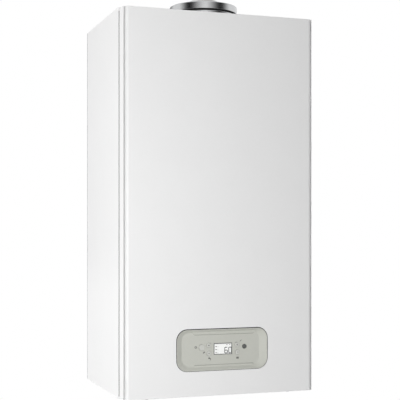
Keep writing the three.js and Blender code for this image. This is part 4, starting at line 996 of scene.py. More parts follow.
@dataclass
class Casing:
    """Back frame, side panels, top panel and bottom plate."""

    half_width: float = 200.0
    height: float = 770.0
    sheet: float = 1.0
    back_sheet: float = 1.5
    gap: float = 0.3
    side_front: float = -276.0
    rim_front: float = -310.0
    rim_half: float = 195.0
    rim_low: float = 7.0
    rim_high: float = 760.0
    rim_flange: float = 12.0
    side_flange: float = 12.0
    bend: float = 1.8
    floor: float = 12.0
    floor_step: float = 8.0
    slot: Pair = (12.0, 24.0)  # width and height of a hanging slot
    slot_x: float = 120.0
    hook_pocket: Pair = (70.0, 50.0)  # width and height of the pocket round a hanging slot
    pocket_deep: float = 10.0
    ear_x: Span = (179.0, 181.0)  # thickness of a hinge ear
    # radius and place of the holes for the pipe tails, then for the trap, the cable gland and the filling tap
    holes: tuple[tuple[float, Pair], ...] = (
        (14.4, (-HEATING_X, PIPE_Y)), (11.7, (-WATER_X, PIPE_Y)), (14.4, (0.0, PIPE_Y)),
        (11.7, (WATER_X, PIPE_Y)), (14.4, (HEATING_X, PIPE_Y)),
        (10.2, TRAP), (10.4, GLAND), (6.5, FILLING_TAP),
    )

    def read_frame(self) -> None:
        """Takes the places of the groove and the rim from the frame."""
        self.rim_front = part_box("left_side_panel")[0].y / MM
        seal_low, seal_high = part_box("cover_seal")
        self.rim_half = seal_high.x / MM
        self.rim_low = seal_low.z / MM + HANGING_LINE
        self.rim_high = seal_high.z / MM + HANGING_LINE

    def build(self) -> None:
        """Builds and dresses the casing."""
        self.read_frame()
        add("casing_back_frame", self.back_frame(), ZINC, stands_for=["back_frame"], edge=0.4)
        for name, side in (("left_side_panel", -1), ("right_side_panel", 1)):
            add(f"casing_{name}", self.side_panel(side), ENAMEL, stands_for=[name], edge=0.25)
        add("casing_top_panel", self.top_panel(), ENAMEL, stands_for=["top_panel"], edge=0.25)
        add("casing_bottom_plate", self.bottom_plate(), ZINC, stands_for=["bottom_plate"], edge=0.25)
        # a dark strip in the groove between casing and cover: painted shade
        add("casing_groove_shade_strip", self.groove_shade_strip(), GROOVE_SHADE, edge=0.3)
        self.rivets()

    def back_frame(self) -> Body:
        """Back sheet with two pressed pockets and their hanging slots."""
        back = Body.block((-self.half_width, self.half_width), (-self.back_sheet, 0), (0, self.height))
        wide, tall = self.slot
        z = about(HANGING_LINE - tall / 2, self.hook_pocket[1])
        pressed, cuts = [], []
        for middle in (-self.slot_x, self.slot_x):
            x = about(middle, self.hook_pocket[0])
            pressed.append(self.pocket(x, z, self.pocket_deep, self.back_sheet, 0))
            inside = shrunk(x, self.back_sheet), shrunk(z, self.back_sheet)
            cuts.append(self.pocket(*inside, self.pocket_deep, 0, -NEAR))
            hole = rectangle(about(middle, wide), (HANGING_LINE - tall, HANGING_LINE), 5.9)
            cuts.append(Body.prism(Y, hole, THROUGH))
        return back.union(*pressed).cut(*cuts)

    def pocket(self, x: Span, z: Span, deep: float, extra: float, lift: float) -> Body:
        """A pressed pocket's block, narrower at its bottom than at its mouth.

        Args:
            x: Its width at the mouth.
            z: Its height at the mouth.
            deep: Its depth.
            extra: What the sheet adds to that depth.
            lift: How far it stands out behind the back.

        Returns:
            The closed body.
        """
        mouth = rectangle(x, z, 6)
        bottom = rectangle(shrunk(x, 1.5), shrunk(z, 1.5), 5)
        return Body.stacked([(mouth, -lift), (mouth, -0.5), (bottom, -deep - extra)])

    def side_panel(self, side: float) -> Body:
        """Side panel: back flange, skin, round step in at the groove, rim and turned-in front edge.

        Args:
            side: 1 for the right panel, -1 for the left one.

        Returns:
            The closed body.
        """
        line = [
            (self.half_width - self.side_flange, -self.back_sheet - self.gap),
            (self.half_width, -self.back_sheet - self.gap),
            (self.half_width, self.side_front),
            (self.rim_half, self.side_front),
            (self.rim_half, self.rim_front),
            (self.rim_half - self.rim_flange, self.rim_front),
        ]
        line = [(side * x, y) for x, y in line]
        outline = folded(line[::-1] if side > 0 else line, self.sheet, self.bend)
        whole = Body.prism(Z, outline, (0, self.height))
        ahead = (-FAR, self.side_front - 0.02)
        flange = mirrored(side, 0, self.rim_half - self.sheet - 0.5)
        edge = (-FAR, self.rim_front + self.sheet + self.gap)
        return whole.cut(
            Body.block(EVERYWHERE, ahead, (self.rim_high, FAR)),
            Body.block(EVERYWHERE, ahead, (-FAR, self.rim_low)),
            Body.block(flange, edge, (self.rim_high - self.rim_flange - self.gap, FAR)),
            Body.block(flange, edge, (-FAR, self.rim_low + self.rim_flange + self.gap)),
        )

    def inside(self) -> Pair:
        """Half the width and the back of the room between the side panels and the back frame."""
        return self.half_width - self.sheet - self.gap, -(self.back_sheet + self.sheet + 2 * self.gap)

    def shoulders(self) -> list[Body]:
        """Tools that narrow a sheet ahead of the groove, where the side panels step in."""
        narrow = self.rim_half - self.sheet - self.gap
        ahead = (-FAR, self.side_front + self.sheet + self.gap)
        return [Body.block(x, ahead, EVERYWHERE) for x in ((narrow, FAR), (-FAR, -narrow))]

    def side_flanges(self, half: float, y: Span, z: Span) -> list[Body]:
        """Flanges along both sides of a sheet, half its width from the middle."""
        return [Body.block(x, y, z) for x in ((-half, self.sheet - half), (half - self.sheet, half))]

    def top_panel(self) -> Body:
        """Top panel: skin, step down to the rim, flue opening and a pressed round plate, left closed."""
        half, back = self.inside()
        line = [
            (back, self.height),
            (self.side_front, self.height),
            (self.side_front, self.rim_high),
            (self.rim_front, self.rim_high),
            (self.rim_front, self.rim_high - self.rim_flange),
        ]
        plate = Body.prism(X, folded(line, self.sheet, self.bend), (-half, half))
        below = (self.height - self.side_flange, self.height - 0.5)
        flanges = self.side_flanges(half, (self.side_front + self.sheet, back), below)
        plate = plate.cut(*self.shoulders(), Body.rod(Z, FLUE_HOLE, EVERYWHERE, FLUE, sides=96))
        return plate.union(*flanges).with_parts(self.blank())

    def blank(self) -> Body:
        """Pressed round plate over the second air inlet, with a stepped edge."""
        top = self.height + 1.2
        line = [(0, self.height - 1), (39, self.height - 1), (39, self.height), (41, self.height)]
        line += [(40.4, top), (36, top), (34.8, top - 0.6), (33.6, top), (0, top)]
        return Body.turned(Z, rounded(line, 0.4, steps=3), (-118, -112), 72)

    def bottom_plate(self) -> Body:
        """Bottom plate, sunk into the casing, with its pipe holes, screw slots and hinge ears."""
        half, back = self.inside()
        step = self.side_front + self.floor_step
        line = [
            (self.rim_front, self.rim_low + self.rim_flange),
            (self.rim_front, self.rim_low),
            (step, self.rim_low),
            (step, self.floor),
            (back, self.floor),
        ]
        plate = Body.prism(X, folded(line, self.sheet, 1.4), (-half, half))
        above = (self.sheet, self.floor + 0.5)
        flanges = self.side_flanges(half, (self.side_front + 2 * self.sheet, back), above)
        tools = [Body.rod(Z, radius, THROUGH, at, sides=40) for radius, at in self.holes]
        for x in (-SCREW_X, SCREW_X):
            tools.append(Body.block(about(x, 5.2), (-FAR, -300.4), (-FAR, 24)))
        cut_plate = plate.cut(*self.shoulders(), *tools).union(*flanges)
        return cut_plate.with_parts(*[self.hinge_ear(side) for side in (-1, 1)])

    def hinge_ear(self, side: float) -> Body:
        """Upright ear that carries the control box's hinge pin.

        Args:
            side: 1 for the right ear, -1 for the left one.

        Returns:
            The closed body.
        """
        y, z = HINGE
        front = self.rim_front + 0.5
        line = [(front, 7.5), (front + 15.5, 7.5), (front + 15.5, z), (y + 6.4, z + 6.4), (y - 6.4, z + 6.4)]
        line += [(y - 6.4, z - 6.4), (front, 20)]
        ear = Body.prism(X, rounded(line, 3, closed=True), mirrored(side, *self.ear_x))
        return ear.cut(Body.rod(X, 4.25, EVERYWHERE, (y, z), sides=32))

    def groove_shade_strip(self) -> Body:
        """Dark grey strip round the rim, in the groove between the casing and the cover: painted shade of the
        deep groove.
        """
        near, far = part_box("front_cover")[1].y / MM + 0.4, self.side_front - 0.3
        half = self.half_width - 1  # a little inside the casing's skin
        outer = rectangle((-half, half), (3.2, self.height - 6.2), 2)
        x, z = (-self.rim_half, self.rim_half), (self.rim_low, self.rim_high)
        inner = rectangle(shrunk(x, -0.1), shrunk(z, -0.1), 1)
        return Body.stacked([(outer, near), (outer, far), (inner, far), (inner, near)], closed=True)

    def rivets(self) -> None:
        """Rivets along the back of both side panels, seen from behind."""
        head = [(0, 0), (2.6, 0), (2.4, 0.7), (1.4, 1.15), (0, 1.3)]
        profile = rounded([(radius, -self.back_sheet - 1.6 - along) for radius, along in head], 0.2)
        spots = [(side * (self.half_width - 8), 70 + 126 * k) for side in (-1, 1) for k in range(6)]
        add("casing_rivets", Body.group([Body.turned(Y, profile, spot, 20) for spot in spots]), ZINC)


# ------------ front cover


@dataclass
class FrontCover:
    """Cover pan with its rolled upright edges, its seal and its two captive screws."""

    half_width: float = 200.0
    front: float = -319.0
    back: float = -281.0
    low: float = 2.0
    high: float = 765.0
    sheet: float = 1.0
    flange: float = 29.0
    fold: float = 1.5
    lip: float = 0.4  # radius of the thin lip along each side
    lip_height: float = 2.5  # lip's edge behind the front face
    seam_depth: float = 14.0  # how far the gap beside the lip goes in from the front face
    seams: Pair = (2.1, 0.4)  # widths of the left and right gaps
    roll: float = 8.5
    opening: Pair = (194.7, 84.4)
    opening_centre: Pair = (3.7, 93.6)
    opening_corner: float = 23.0
    screw_y: float = -303.0
    screw_hole: float = 2.3

    def build(self) -> None:
        """Builds and dresses the cover."""
        self.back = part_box("front_cover")[1].y / MM
        add("cover_pan", self.pan(), ENAMEL, COVER, ["front_cover"], edge=0.25, sharp=50)
        add("cover_seal_strip", self.seal(), RUBBER, COVER, ["cover_seal"], edge=0.5)
        for name, x in (("left", -SCREW_X), ("right", SCREW_X)):
            add(f"cover_captive_screw_{name}", self.screw(x), ZINC, COVER, [f"cover_screw_{name}"])

    def edge_line(self, seam: float) -> list[Pair]:
        """The cover's upright edge.

        Args:
            seam: Width of the gap beside the roll.

        Returns:
            Distances in from the side and back from the front face.
        """
        lip = self.lip
        line = [(0, self.back - self.front)]
        line += arc((lip, self.lip_height + lip), lip, 180, 360, 6)
        line += [(2 * lip, self.seam_depth), (2 * lip + seam, self.seam_depth)]
        return line + arc(self.roll_centre(seam), self.roll, 180, 270, 12)

    def inner_line(self, seam: float) -> list[Pair]:
        """The hollow's edge behind the roll.

        Args:
            seam: Width of the gap beside the roll.

        Returns:
            Distances in from the side and back from the front face.
        """
        under = self.seam_depth + self.sheet
        line = [(self.sheet, FAR), (self.sheet, under), (2 * self.lip + seam + self.sheet, under)]
        return line + arc(self.roll_centre(seam), self.roll - self.sheet, 180, 270, 6)

    def roll_centre(self, seam: float) -> Pair:
        """Centre of the front sheet's roll, in from the side and back from the front face."""
        return 2 * self.lip + seam + self.roll, self.roll

    def both_sides(self, line: Callable[[float], list[Pair]]) -> list[Pair]:
        """A plan outline from the lines of both upright edges.

        Args:
            line: Gives an edge's line for the width of its gap.

        Returns:
            The closed outline.
        """
        left = [(u - self.half_width, self.front + v) for u, v in line(self.seams[0])]
        right = [(self.half_width - u, self.front + v) for u, v in line(self.seams[1])]
        return left + right[::-1]

    def pan(self) -> Body:
        """The folded pan, cut out for the control panel."""
        plan = self.both_sides(self.edge_line)
        side = rounded(
            [(self.back, self.low), (self.front, self.low), (self.front, self.high), (self.back, self.high)],
            self.fold,
            steps=6,
        )
        solid = Body.prism(Z, plan, (self.low, self.high)).common(
            Body.prism(X, side, (-self.half_width - 5, self.half_width + 5))
        )
        hollow = Body.prism(
            Z, self.both_sides(self.inner_line), (self.low + self.sheet, self.high - self.sheet)
        )
        wide = self.half_width - self.sheet
        behind = Body.block((-wide, wide), (self.front + self.flange, FAR), EVERYWHERE)
        x = about(self.opening_centre[0], self.opening[0])
        z = about(self.opening_centre[1], self.opening[1])
        window = Body.prism(
            Y, rectangle(x, z, self.opening_corner, 16), (self.front - 5, self.front + 2 * self.sheet)
        )
        holes = [
            Body.rod(Z, self.screw_hole, (-NEAR, self.low + 2 * self.sheet), (side_x, self.screw_y), sides=24)
            for side_x in (-SCREW_X, SCREW_X)
        ]
        return solid.cut(hollow, behind, window, *holes)

    def seal(self) -> Body:
        """Soft seal with a ridge, in a closed frame behind the cover."""
        low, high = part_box("cover_seal")
        x, z = (low.x / MM, high.x / MM), (low.z / MM + HANGING_LINE, high.z / MM + HANGING_LINE)
        section = [(6, 0), (4, 0.6), (2, 1.5), (0, 3.3)]  # clear of the inside of the roll
        section += [(0, 7.4), (2, 7.4), (3, 6.4), (6, 6.4), (7, 7.4), (9, 7.4), (9, 0)]
        outlines = [
            (rectangle(shrunk(x, inset), shrunk(z, inset), 1, 2), low.y / MM + depth)
            for inset, depth in section
        ]
        return Body.stacked(outlines, closed=True)

    def screw(self, x: float) -> Body:
        """Captive screw with a slotted head.

        Args:
            x: Its place across the boiler.

        Returns:
            The closed body.
        """
        top = self.low - 0.3
        head = [(0, top - 2), (4.3, top - 2), (5, top - 1.4), (5, top), (2, top), (2, 18), (0, 18)]
        screw = Body.turned(Z, rounded(head, 0.3, steps=2), (x, self.screw_y), 40)
        return screw.cut(Body.block(about(x, 6.4), about(self.screw_y, 1.2), (-NEAR, top - 1)))


# ------------ control panel


class Segment(Enum):
    """The seven strokes of a display digit: start and end as shares of its width and height."""

    TOP = ((0.0, 1.0), (1.0, 1.0))
    UPPER_LEFT = ((0.0, 0.5), (0.0, 1.0))
    UPPER_RIGHT = ((1.0, 0.5), (1.0, 1.0))
    MIDDLE = ((0.0, 0.5), (1.0, 0.5))
    LOWER_LEFT = ((0.0, 0.0), (0.0, 0.5))
    LOWER_RIGHT = ((1.0, 0.0), (1.0, 0.5))
    BOTTOM = ((0.0, 0.0), (1.0, 0.0))


DIGITS = {
    "6": tuple(segment for segment in Segment if segment is not Segment.UPPER_RIGHT),
    "0": tuple(segment for segment in Segment if segment is not Segment.MIDDLE),
}


@dataclass(frozen=True)
class PushButton:
    """One push button: its name, place on the panel, radius and the sign on it."""

    name: str
    x: float
    z: float
    radius: float
    sign: str = ""


BUTTONS = (
    PushButton("on_off_button", -38.0, 97.2, 6.0),
    PushButton("hot_water_up_button", -23.2, 101.6, 4.7, "+"),
    PushButton("hot_water_down_button", -23.0, 85.3, 4.7, "-"),
    PushButton("heating_up_button", 37.4, 101.0, 4.7, "+"),
    PushButton("heating_down_button", 38.2, 85.9, 4.7, "-"),
    PushButton("reset_button", 53.0, 96.8, 4.5),
)


@dataclass
class ControlPanel:
    """Sunk fascia tray with its display, push buttons and plain signs."""

    centre: Pair = (3.7, 93.6)
    width: float = 192.7
    tall: float = 82.4
    corner: float = 22.0
    rim: float = -318.0
    floor: float = -311.0
    wall: float = 2.5
    back: float = -306.0
    margins: tuple[float, float, float, float] = (13.0, 15.0, 8.5, 8.5)  # left, right, bottom, top
    floor_corner: float = 15.0
    window: Pair = (39.6, 23.3)
    window_centre: Pair = (7.0, 93.8)
    pane_face: float = -310.7
    clearance: float = 0.4
    ledge_x: Span = (-53.0, 71.0)
    ledge_z: Span = (62.6, 123.0)  # inner edges of the bottom ledge and of the top one
    ledge_deep: float = 7.0
    ledge_rise: float = 1.3
    button_face: float = -312.2
    button_flange: Span = (-308.2, -305.6)
    corner_steps: int = 14
    lean: float = 0.6  # the tray sits this much to the right and low in its cut-out

    def build(self) -> None:
        """Builds and dresses the panel."""
        add("panel_fascia", self.fascia(), FASCIA, BOX, ["fascia"], sharp=60)
        # black strip in the gap round the tray: painted shade, widest where the gap lies in shadow
        add("panel_edge_shade_strip", self.edge_shade_strip(), RUBBER, BOX)
        self.ledges()
        self.display()
        for button in BUTTONS:
            self.push_button(button)
        self.signs()

    def outline(self, inset: float) -> list[Pair]:
        """The fascia's outline.

        Args:
            inset: How far it is drawn in.

        Returns:
            The outline.
        """
        x = about(self.centre[0] + self.lean / 2, self.width + self.lean - 2 * inset)
        z = about(self.centre[1] - self.lean / 2, self.tall + self.lean - 2 * inset)
        return rectangle(x, z, max(self.corner - inset, 1), self.corner_steps)

    def floor_outline(self, out: float) -> list[Pair]:
        """The floor's outline.

        Args:
            out: How far it is let out towards the walls.

        Returns:
            The outline.
        """
        left, right, bottom, top = self.margins
        x = about(self.centre[0], self.width)
        z = about(self.centre[1], self.tall)
        spans = (x[0] + left - out, x[1] - right + out), (z[0] + bottom - out, z[1] - top + out)
        return rectangle(*spans, self.floor_corner + out, self.corner_steps)

    def fascia(self) -> Body:
        """The tray as one closed body, with holes for the window and the buttons."""
        under = self.floor + self.wall
        stations = [
            (self.outline(0), self.back),
            (self.outline(0), self.rim + 0.7),
            (self.outline(0.2), self.rim + 0.2),
            (self.outline(0.7), self.rim),
            (self.outline(1.6), self.rim),
            (self.outline(2.2), self.rim + 0.25),
            (self.outline(2.7), self.rim + 0.8),
            (self.floor_outline(2.6), self.floor - 1.5),
            (self.floor_outline(1.3), self.floor - 0.55),
            (self.floor_outline(0), self.floor - 0.08),
            (self.floor_outline(-1.2), self.floor),
        ]
        front = Body.stacked(stations)
        pocket = Body.stacked([(self.outline(self.wall + 0.1), y) for y in (0, under)])
        x = about(self.window_centre[0], self.window[0])
        z = about(self.window_centre[1], self.window[1])
        tools = [Body.prism(Y, rectangle(x, z, 0.8, 4), (-FAR, 0))]
        for button in BUTTONS:
            radius = button.radius + self.clearance
            tools.append(Body.rod(Y, radius, (-FAR, 0), (button.x, button.z), sides=48))
        return front.cut(pocket, *tools)

    def edge_shade_strip(self) -> Body:
        """Black strip round the fascia's rim, wider along the top: painted shade in the gap round the tray."""
        x = about(self.centre[0], self.width)
        z = about(self.centre[1], self.tall)
        out, face = 0.95, self.rim - 0.25
        outer = rectangle(shrunk(x, -out), shrunk(z, -out), self.corner + out, self.corner_steps)
        inner = rectangle((x[0] + 0.6, x[1] + 0.5), (z[0] - 0.5, z[1] - 0.8), self.corner, self.corner_steps)
        foot = self.rim + 1.5
        return Body.stacked([(outer, foot), (outer, face), (inner, face), (inner, foot)], closed=True)

    def ledges(self) -> None:
        """The two raised ledges along the floor's top and bottom, with slanted ends, and a darker line of
        painted shade along the foot of each.
        """
        left, right = self.ledge_x
        rise = self.ledge_rise
        for name, edge, to_wall in (("top", self.ledge_z[1], 1), ("bottom", self.ledge_z[0], -1)):
            far = edge + self.ledge_deep * to_wall
            low = [(left, edge), (right, edge), (right + 6.5, far), (left - 6.5, far)]
            # darker strokes round the ledge's foot on the floor: painted shade where the ledge rises
            shade_line = self.strokes([(low[3], low[0]), (low[0], low[1]), (low[1], low[2])], 1.5, 0.06)
            add(f"panel_crease_{name}", shade_line.moved(y=self.floor + 0.02), CREASE_SHADE, BOX)
            near = edge + rise * 0.6 * to_wall
            high = [(left + 0.6, near), (right - 0.6, near), (right + 5.4, far), (left - 5.4, far)]
            ledge = Body.stacked([(low, self.floor + 0.3), (low, self.floor), (high, self.floor - rise)])
            add(f"panel_ledge_{name}", ledge, FASCIA, BOX, edge=0.3)

    def display(self) -> None:
        """Display window: white pane, darker border, two digits and small plain marks."""
        x = about(self.window_centre[0], self.window[0] - 0.6)
        z = about(self.window_centre[1], self.window[1] - 0.6)
        face = self.pane_face
        pane = Body.stacked([
            (rectangle(shrunk(x, inset), shrunk(z, inset), 0.7, 4), y)
            for inset, y in ((0, -308.5), (0, -310.4), (0.15, -310.6), (0.4, face))
        ])
        add("display_pane", pane, DISPLAY, BOX, ["display_lens"], sharp=60)
        outer = rectangle(x, z, 0.7, 4)
        inner = rectangle((x[0] + 1.5, x[1] - 1.3), (z[0] + 1.2, z[1] - 1.5), 0.5, 4)
        border = [(outer, face), (outer, face - 0.25), (inner, face - 0.25), (inner, face)]
        add("display_border", Body.stacked(border, closed=True), BEZEL, BOX)
        digits = [self.digit(digit, 11 + 8.6 * place, 84.9, (5.6, 11.4)) for place, digit in enumerate("60")]
        add("display_digits", Body.group(digits).moved(y=face), SEGMENT, BOX)
        marks = []
        for level in (86.2, 86.2 + 6.2, 86.2 + 6.2 * 2):
            marks.append(self.stroke((-8.6, level), (-6.4, level), 1.5))
            marks.append(self.stroke((-4.6, level - 0.6), (-2.6, level - 0.6), 0.5))
        marks.append(self.stroke((14, 101.2), (17, 102.2), 0.7))
        marks.append(self.stroke((20.6, 101.8), (22.6, 101.8), 0.9))
        add("display_marks", Body.group(marks).moved(y=face), SEGMENT, BOX)

    def digit(self, digit: str, x: float, z: float, size: Pair) -> Body:
        """One digit from its strokes.

        Args:
            digit: The digit.
            x: Its left end.
            z: Its foot.
            size: Its width and height.

        Returns:
            Its strokes in one body.
        """
        lines = []
        for segment in DIGITS[digit]:
            (a, b), (c, d) = segment.value
            start = Vector((x + a * size[0], z + b * size[1]))
            end = Vector((x + c * size[0], z + d * size[1]))
            way = (end - start).normalized() * 0.35
            lines.append((tuple(start + way), tuple(end - way)))
        return self.strokes(lines, 1.45)

    def strokes(self, lines: Iterable[tuple[Pair, Pair]], width: float, thick: float = 0.12) -> Body:
        """Several strokes of one width, each from its two ends."""
        return Body.group([self.stroke(start, end, width, thick) for start, end in lines])

    def stroke(self, start: Pair, end: Pair, width: float, thick: float = 0.12) -> Body:
        """A flat stroke with pointed ends, lying on the plane at y 0.

        Args:
            start: Its first end.
            end: Its other end.
            width: Its width.
            thick: How far it stands out.

        Returns:
            The closed body.
        """
        a, b = Vector(start), Vector(end)
        way = (b - a).normalized()
        side = Vector((-way.y, way.x)) * width / 2
        tip = way * width / 2
        line = [a - tip * 0.4, a - side, b - side, b + tip * 0.4, b + side, a + side]
        return Body.prism(Y, [tuple(point) for point in line], (-thick, 0))

    def push_button(self, button: PushButton) -> None:
        """A push button with a dished face, and its sign.

        Args:
            button: The button.
        """
        face, radius = self.button_face, button.radius
        line = [
            (0, face + 0.25),
            (radius * 0.6, face + 0.12),
            (radius - 1, face),
            (radius - 0.35, face + 0.15),
            (radius, face + 0.6),
            (radius, self.button_flange[0]),
            (radius + 1, self.button_flange[0]),
            (radius + 1, self.button_flange[1]),
            (0, self.button_flange[1]),
        ]
        finish = RESET if button.name == "reset_button" else BUTTON
        body = Body.turned(Y, line, (button.x, button.z), 56)
        add(f"{button.name}_cap", body, finish, button.name, [button.name])
        if button.sign:
            x, z, reach = button.x, button.z, 1.5
            bars = [((x - reach, z), (x + reach, z))]
            if button.sign == "+":
                bars.append(((x, z - reach), (x, z + reach)))
            add(f"{button.name}_sign", self.strokes(bars, 0.65, 0.35).moved(y=face + 0.3), INK, button.name)

    def signs(self) -> None:
        """Plain printed signs on the floor: power, tap, radiator and two slanted dashes."""
        x, z = -50.5, 98.5
        points = arc((x, z), 2, 120, 420, 10)
        bars = [((36.3 + 1.4 * k, 72.6), (36.3 + 1.4 * k, 76.2), 0.9) for k in range(4)]
        signs = {
            "power": [(a, b, 0.8) for a, b in zip(points, points[1:])] + [((x, z), (x, z + 2.3), 0.8)],
            "tap": [
                ((-24, 75.4), (-19.8, 75.4), 1.5), ((-19.8, 75.4), (-19.2, 72.8), 1.2),
                ((-22.4, 75.4), (-22.4, 77.4), 0.7), ((-23.6, 77.5), (-21.2, 77.5), 0.8),
                ((-19.2, 71.6), (-19.2, 71), 0.6),
            ],
            "radiator": bars + [((36, 73.2), (40.8, 73.2), 0.5), ((36, 75.6), (40.8, 75.6), 0.5)],
            "dashes": [((-35, 86.2), (-31.2, 88.9), 1.5), ((43.6, 107.4), (47, 110.2), 0.9)],
        }
        for name, lines in signs.items():
            sign = Body.group([self.stroke(start, end, width) for start, end, width in lines])
            add(f"panel_sign_{name}", sign.moved(y=self.floor + 0.02), INK, BOX)


# ------------ flue outlet


@dataclass
class FlueOutlet:
    """Flange, gasket, bright collar and inner socket of the flue outlet, and the exhaust pipe below."""

    at: Pair = FLUE
    top: float = 795.5
    bottom: float = 781.2
    radius: float = 70.0
    socket_rise: float = 13.0  # inner socket above the collar
    socket_height: float = 68.0

    def build(self) -> None:
        """Builds and dresses the flue outlet."""
        add("flue_collar_ring", self.collar(), POLISHED, stands_for=["flue_collar"], sharp=50)
        hole = FLUE_HOLE
        # a real black gasket, made taller up to the collar's raised foot so its dark band also stands in for
        # the shadow gap under the collar: partly painted shade
        gasket = [(hole, 777.7), (66.6, 777.7), (66.6, 781.1), (hole, 781.1)]
        add("flue_gasket_shade_ring", self.ring(gasket, 0.4), RUBBER, stands_for=["flue_gasket"])
        flange = [(hole, 770.3), (69, 770.3), (69, 777.1), (68.5, 777.6), (hole, 777.6)]
        add("flue_flange_ring", self.ring(flange, 0.5), POLISHED, stands_for=["flue_flange"], sharp=50)
        self.socket()
        pipe = Body.pipe([(0, -190, 640), (0, -190, 672), (0, -212, 706), (0, -212, 750)], 35, 28, 26.3, 40)
        add("exhaust_pipe_bend", pipe, COMPOSITE, stands_for=["exhaust_pipe"])

    def ring(self, line: Sequence[Pair], edge: float, sides: int = 96) -> Body:
        """A turned ring about the flue's axis, its edges rounded."""
        return Body.turned(Z, rounded(line, edge, closed=True, steps=3), self.at, sides)

    def collar(self) -> Body:
        """The bright ring with its rolled top lip and the inner upstand."""
        r, low, high, wall = self.radius, self.bottom, self.top, 1.6
        line = [
            (50, low), (r - 0.2, low), (r, low + 0.3),
            (r, high - 1.2), (r - 0.4, high - 0.4), (r - 1.2, high),
            (r - 5, high), (r - 5, high - wall), (r - wall, high - wall), (r - wall, low + wall),
            (50 + wall, low + wall), (50 + wall, high - wall), (50, high - wall),
        ]
        return self.ring(line, 0.5, 128)

    def socket(self) -> None:
        """Inner socket with a flared mouth, a lip seal and three webs."""
        top = self.top + self.socket_rise
        low = top - self.socket_height
        line = [
            (28.3, low), (30, low), (30, top - 1.2), (29.4, top - 0.2), (28.7, top), (28.3, top - 0.5),
        ]
        tube = Body.turned(Z, line, self.at, 80)
        web = Body.block((29.4, 49.6), (-1.5, 1.5), (self.bottom, self.bottom + 6))
        webs = web.ringed(Z, self.at, 3, math.degrees(0.5))
        add("flue_inner_socket", tube.with_parts(*webs), PALE_SOCKET, stands_for=["flue_socket"])
        seal = [(26.8, top - 6), (28.25, top - 7), (28.25, top - 4), (27.2, top - 4.6)]
        add("flue_lip_seal", Body.turned(Z, rounded(seal, 0.3, closed=True), self.at, 64), RUBBER)


# ------------ control box


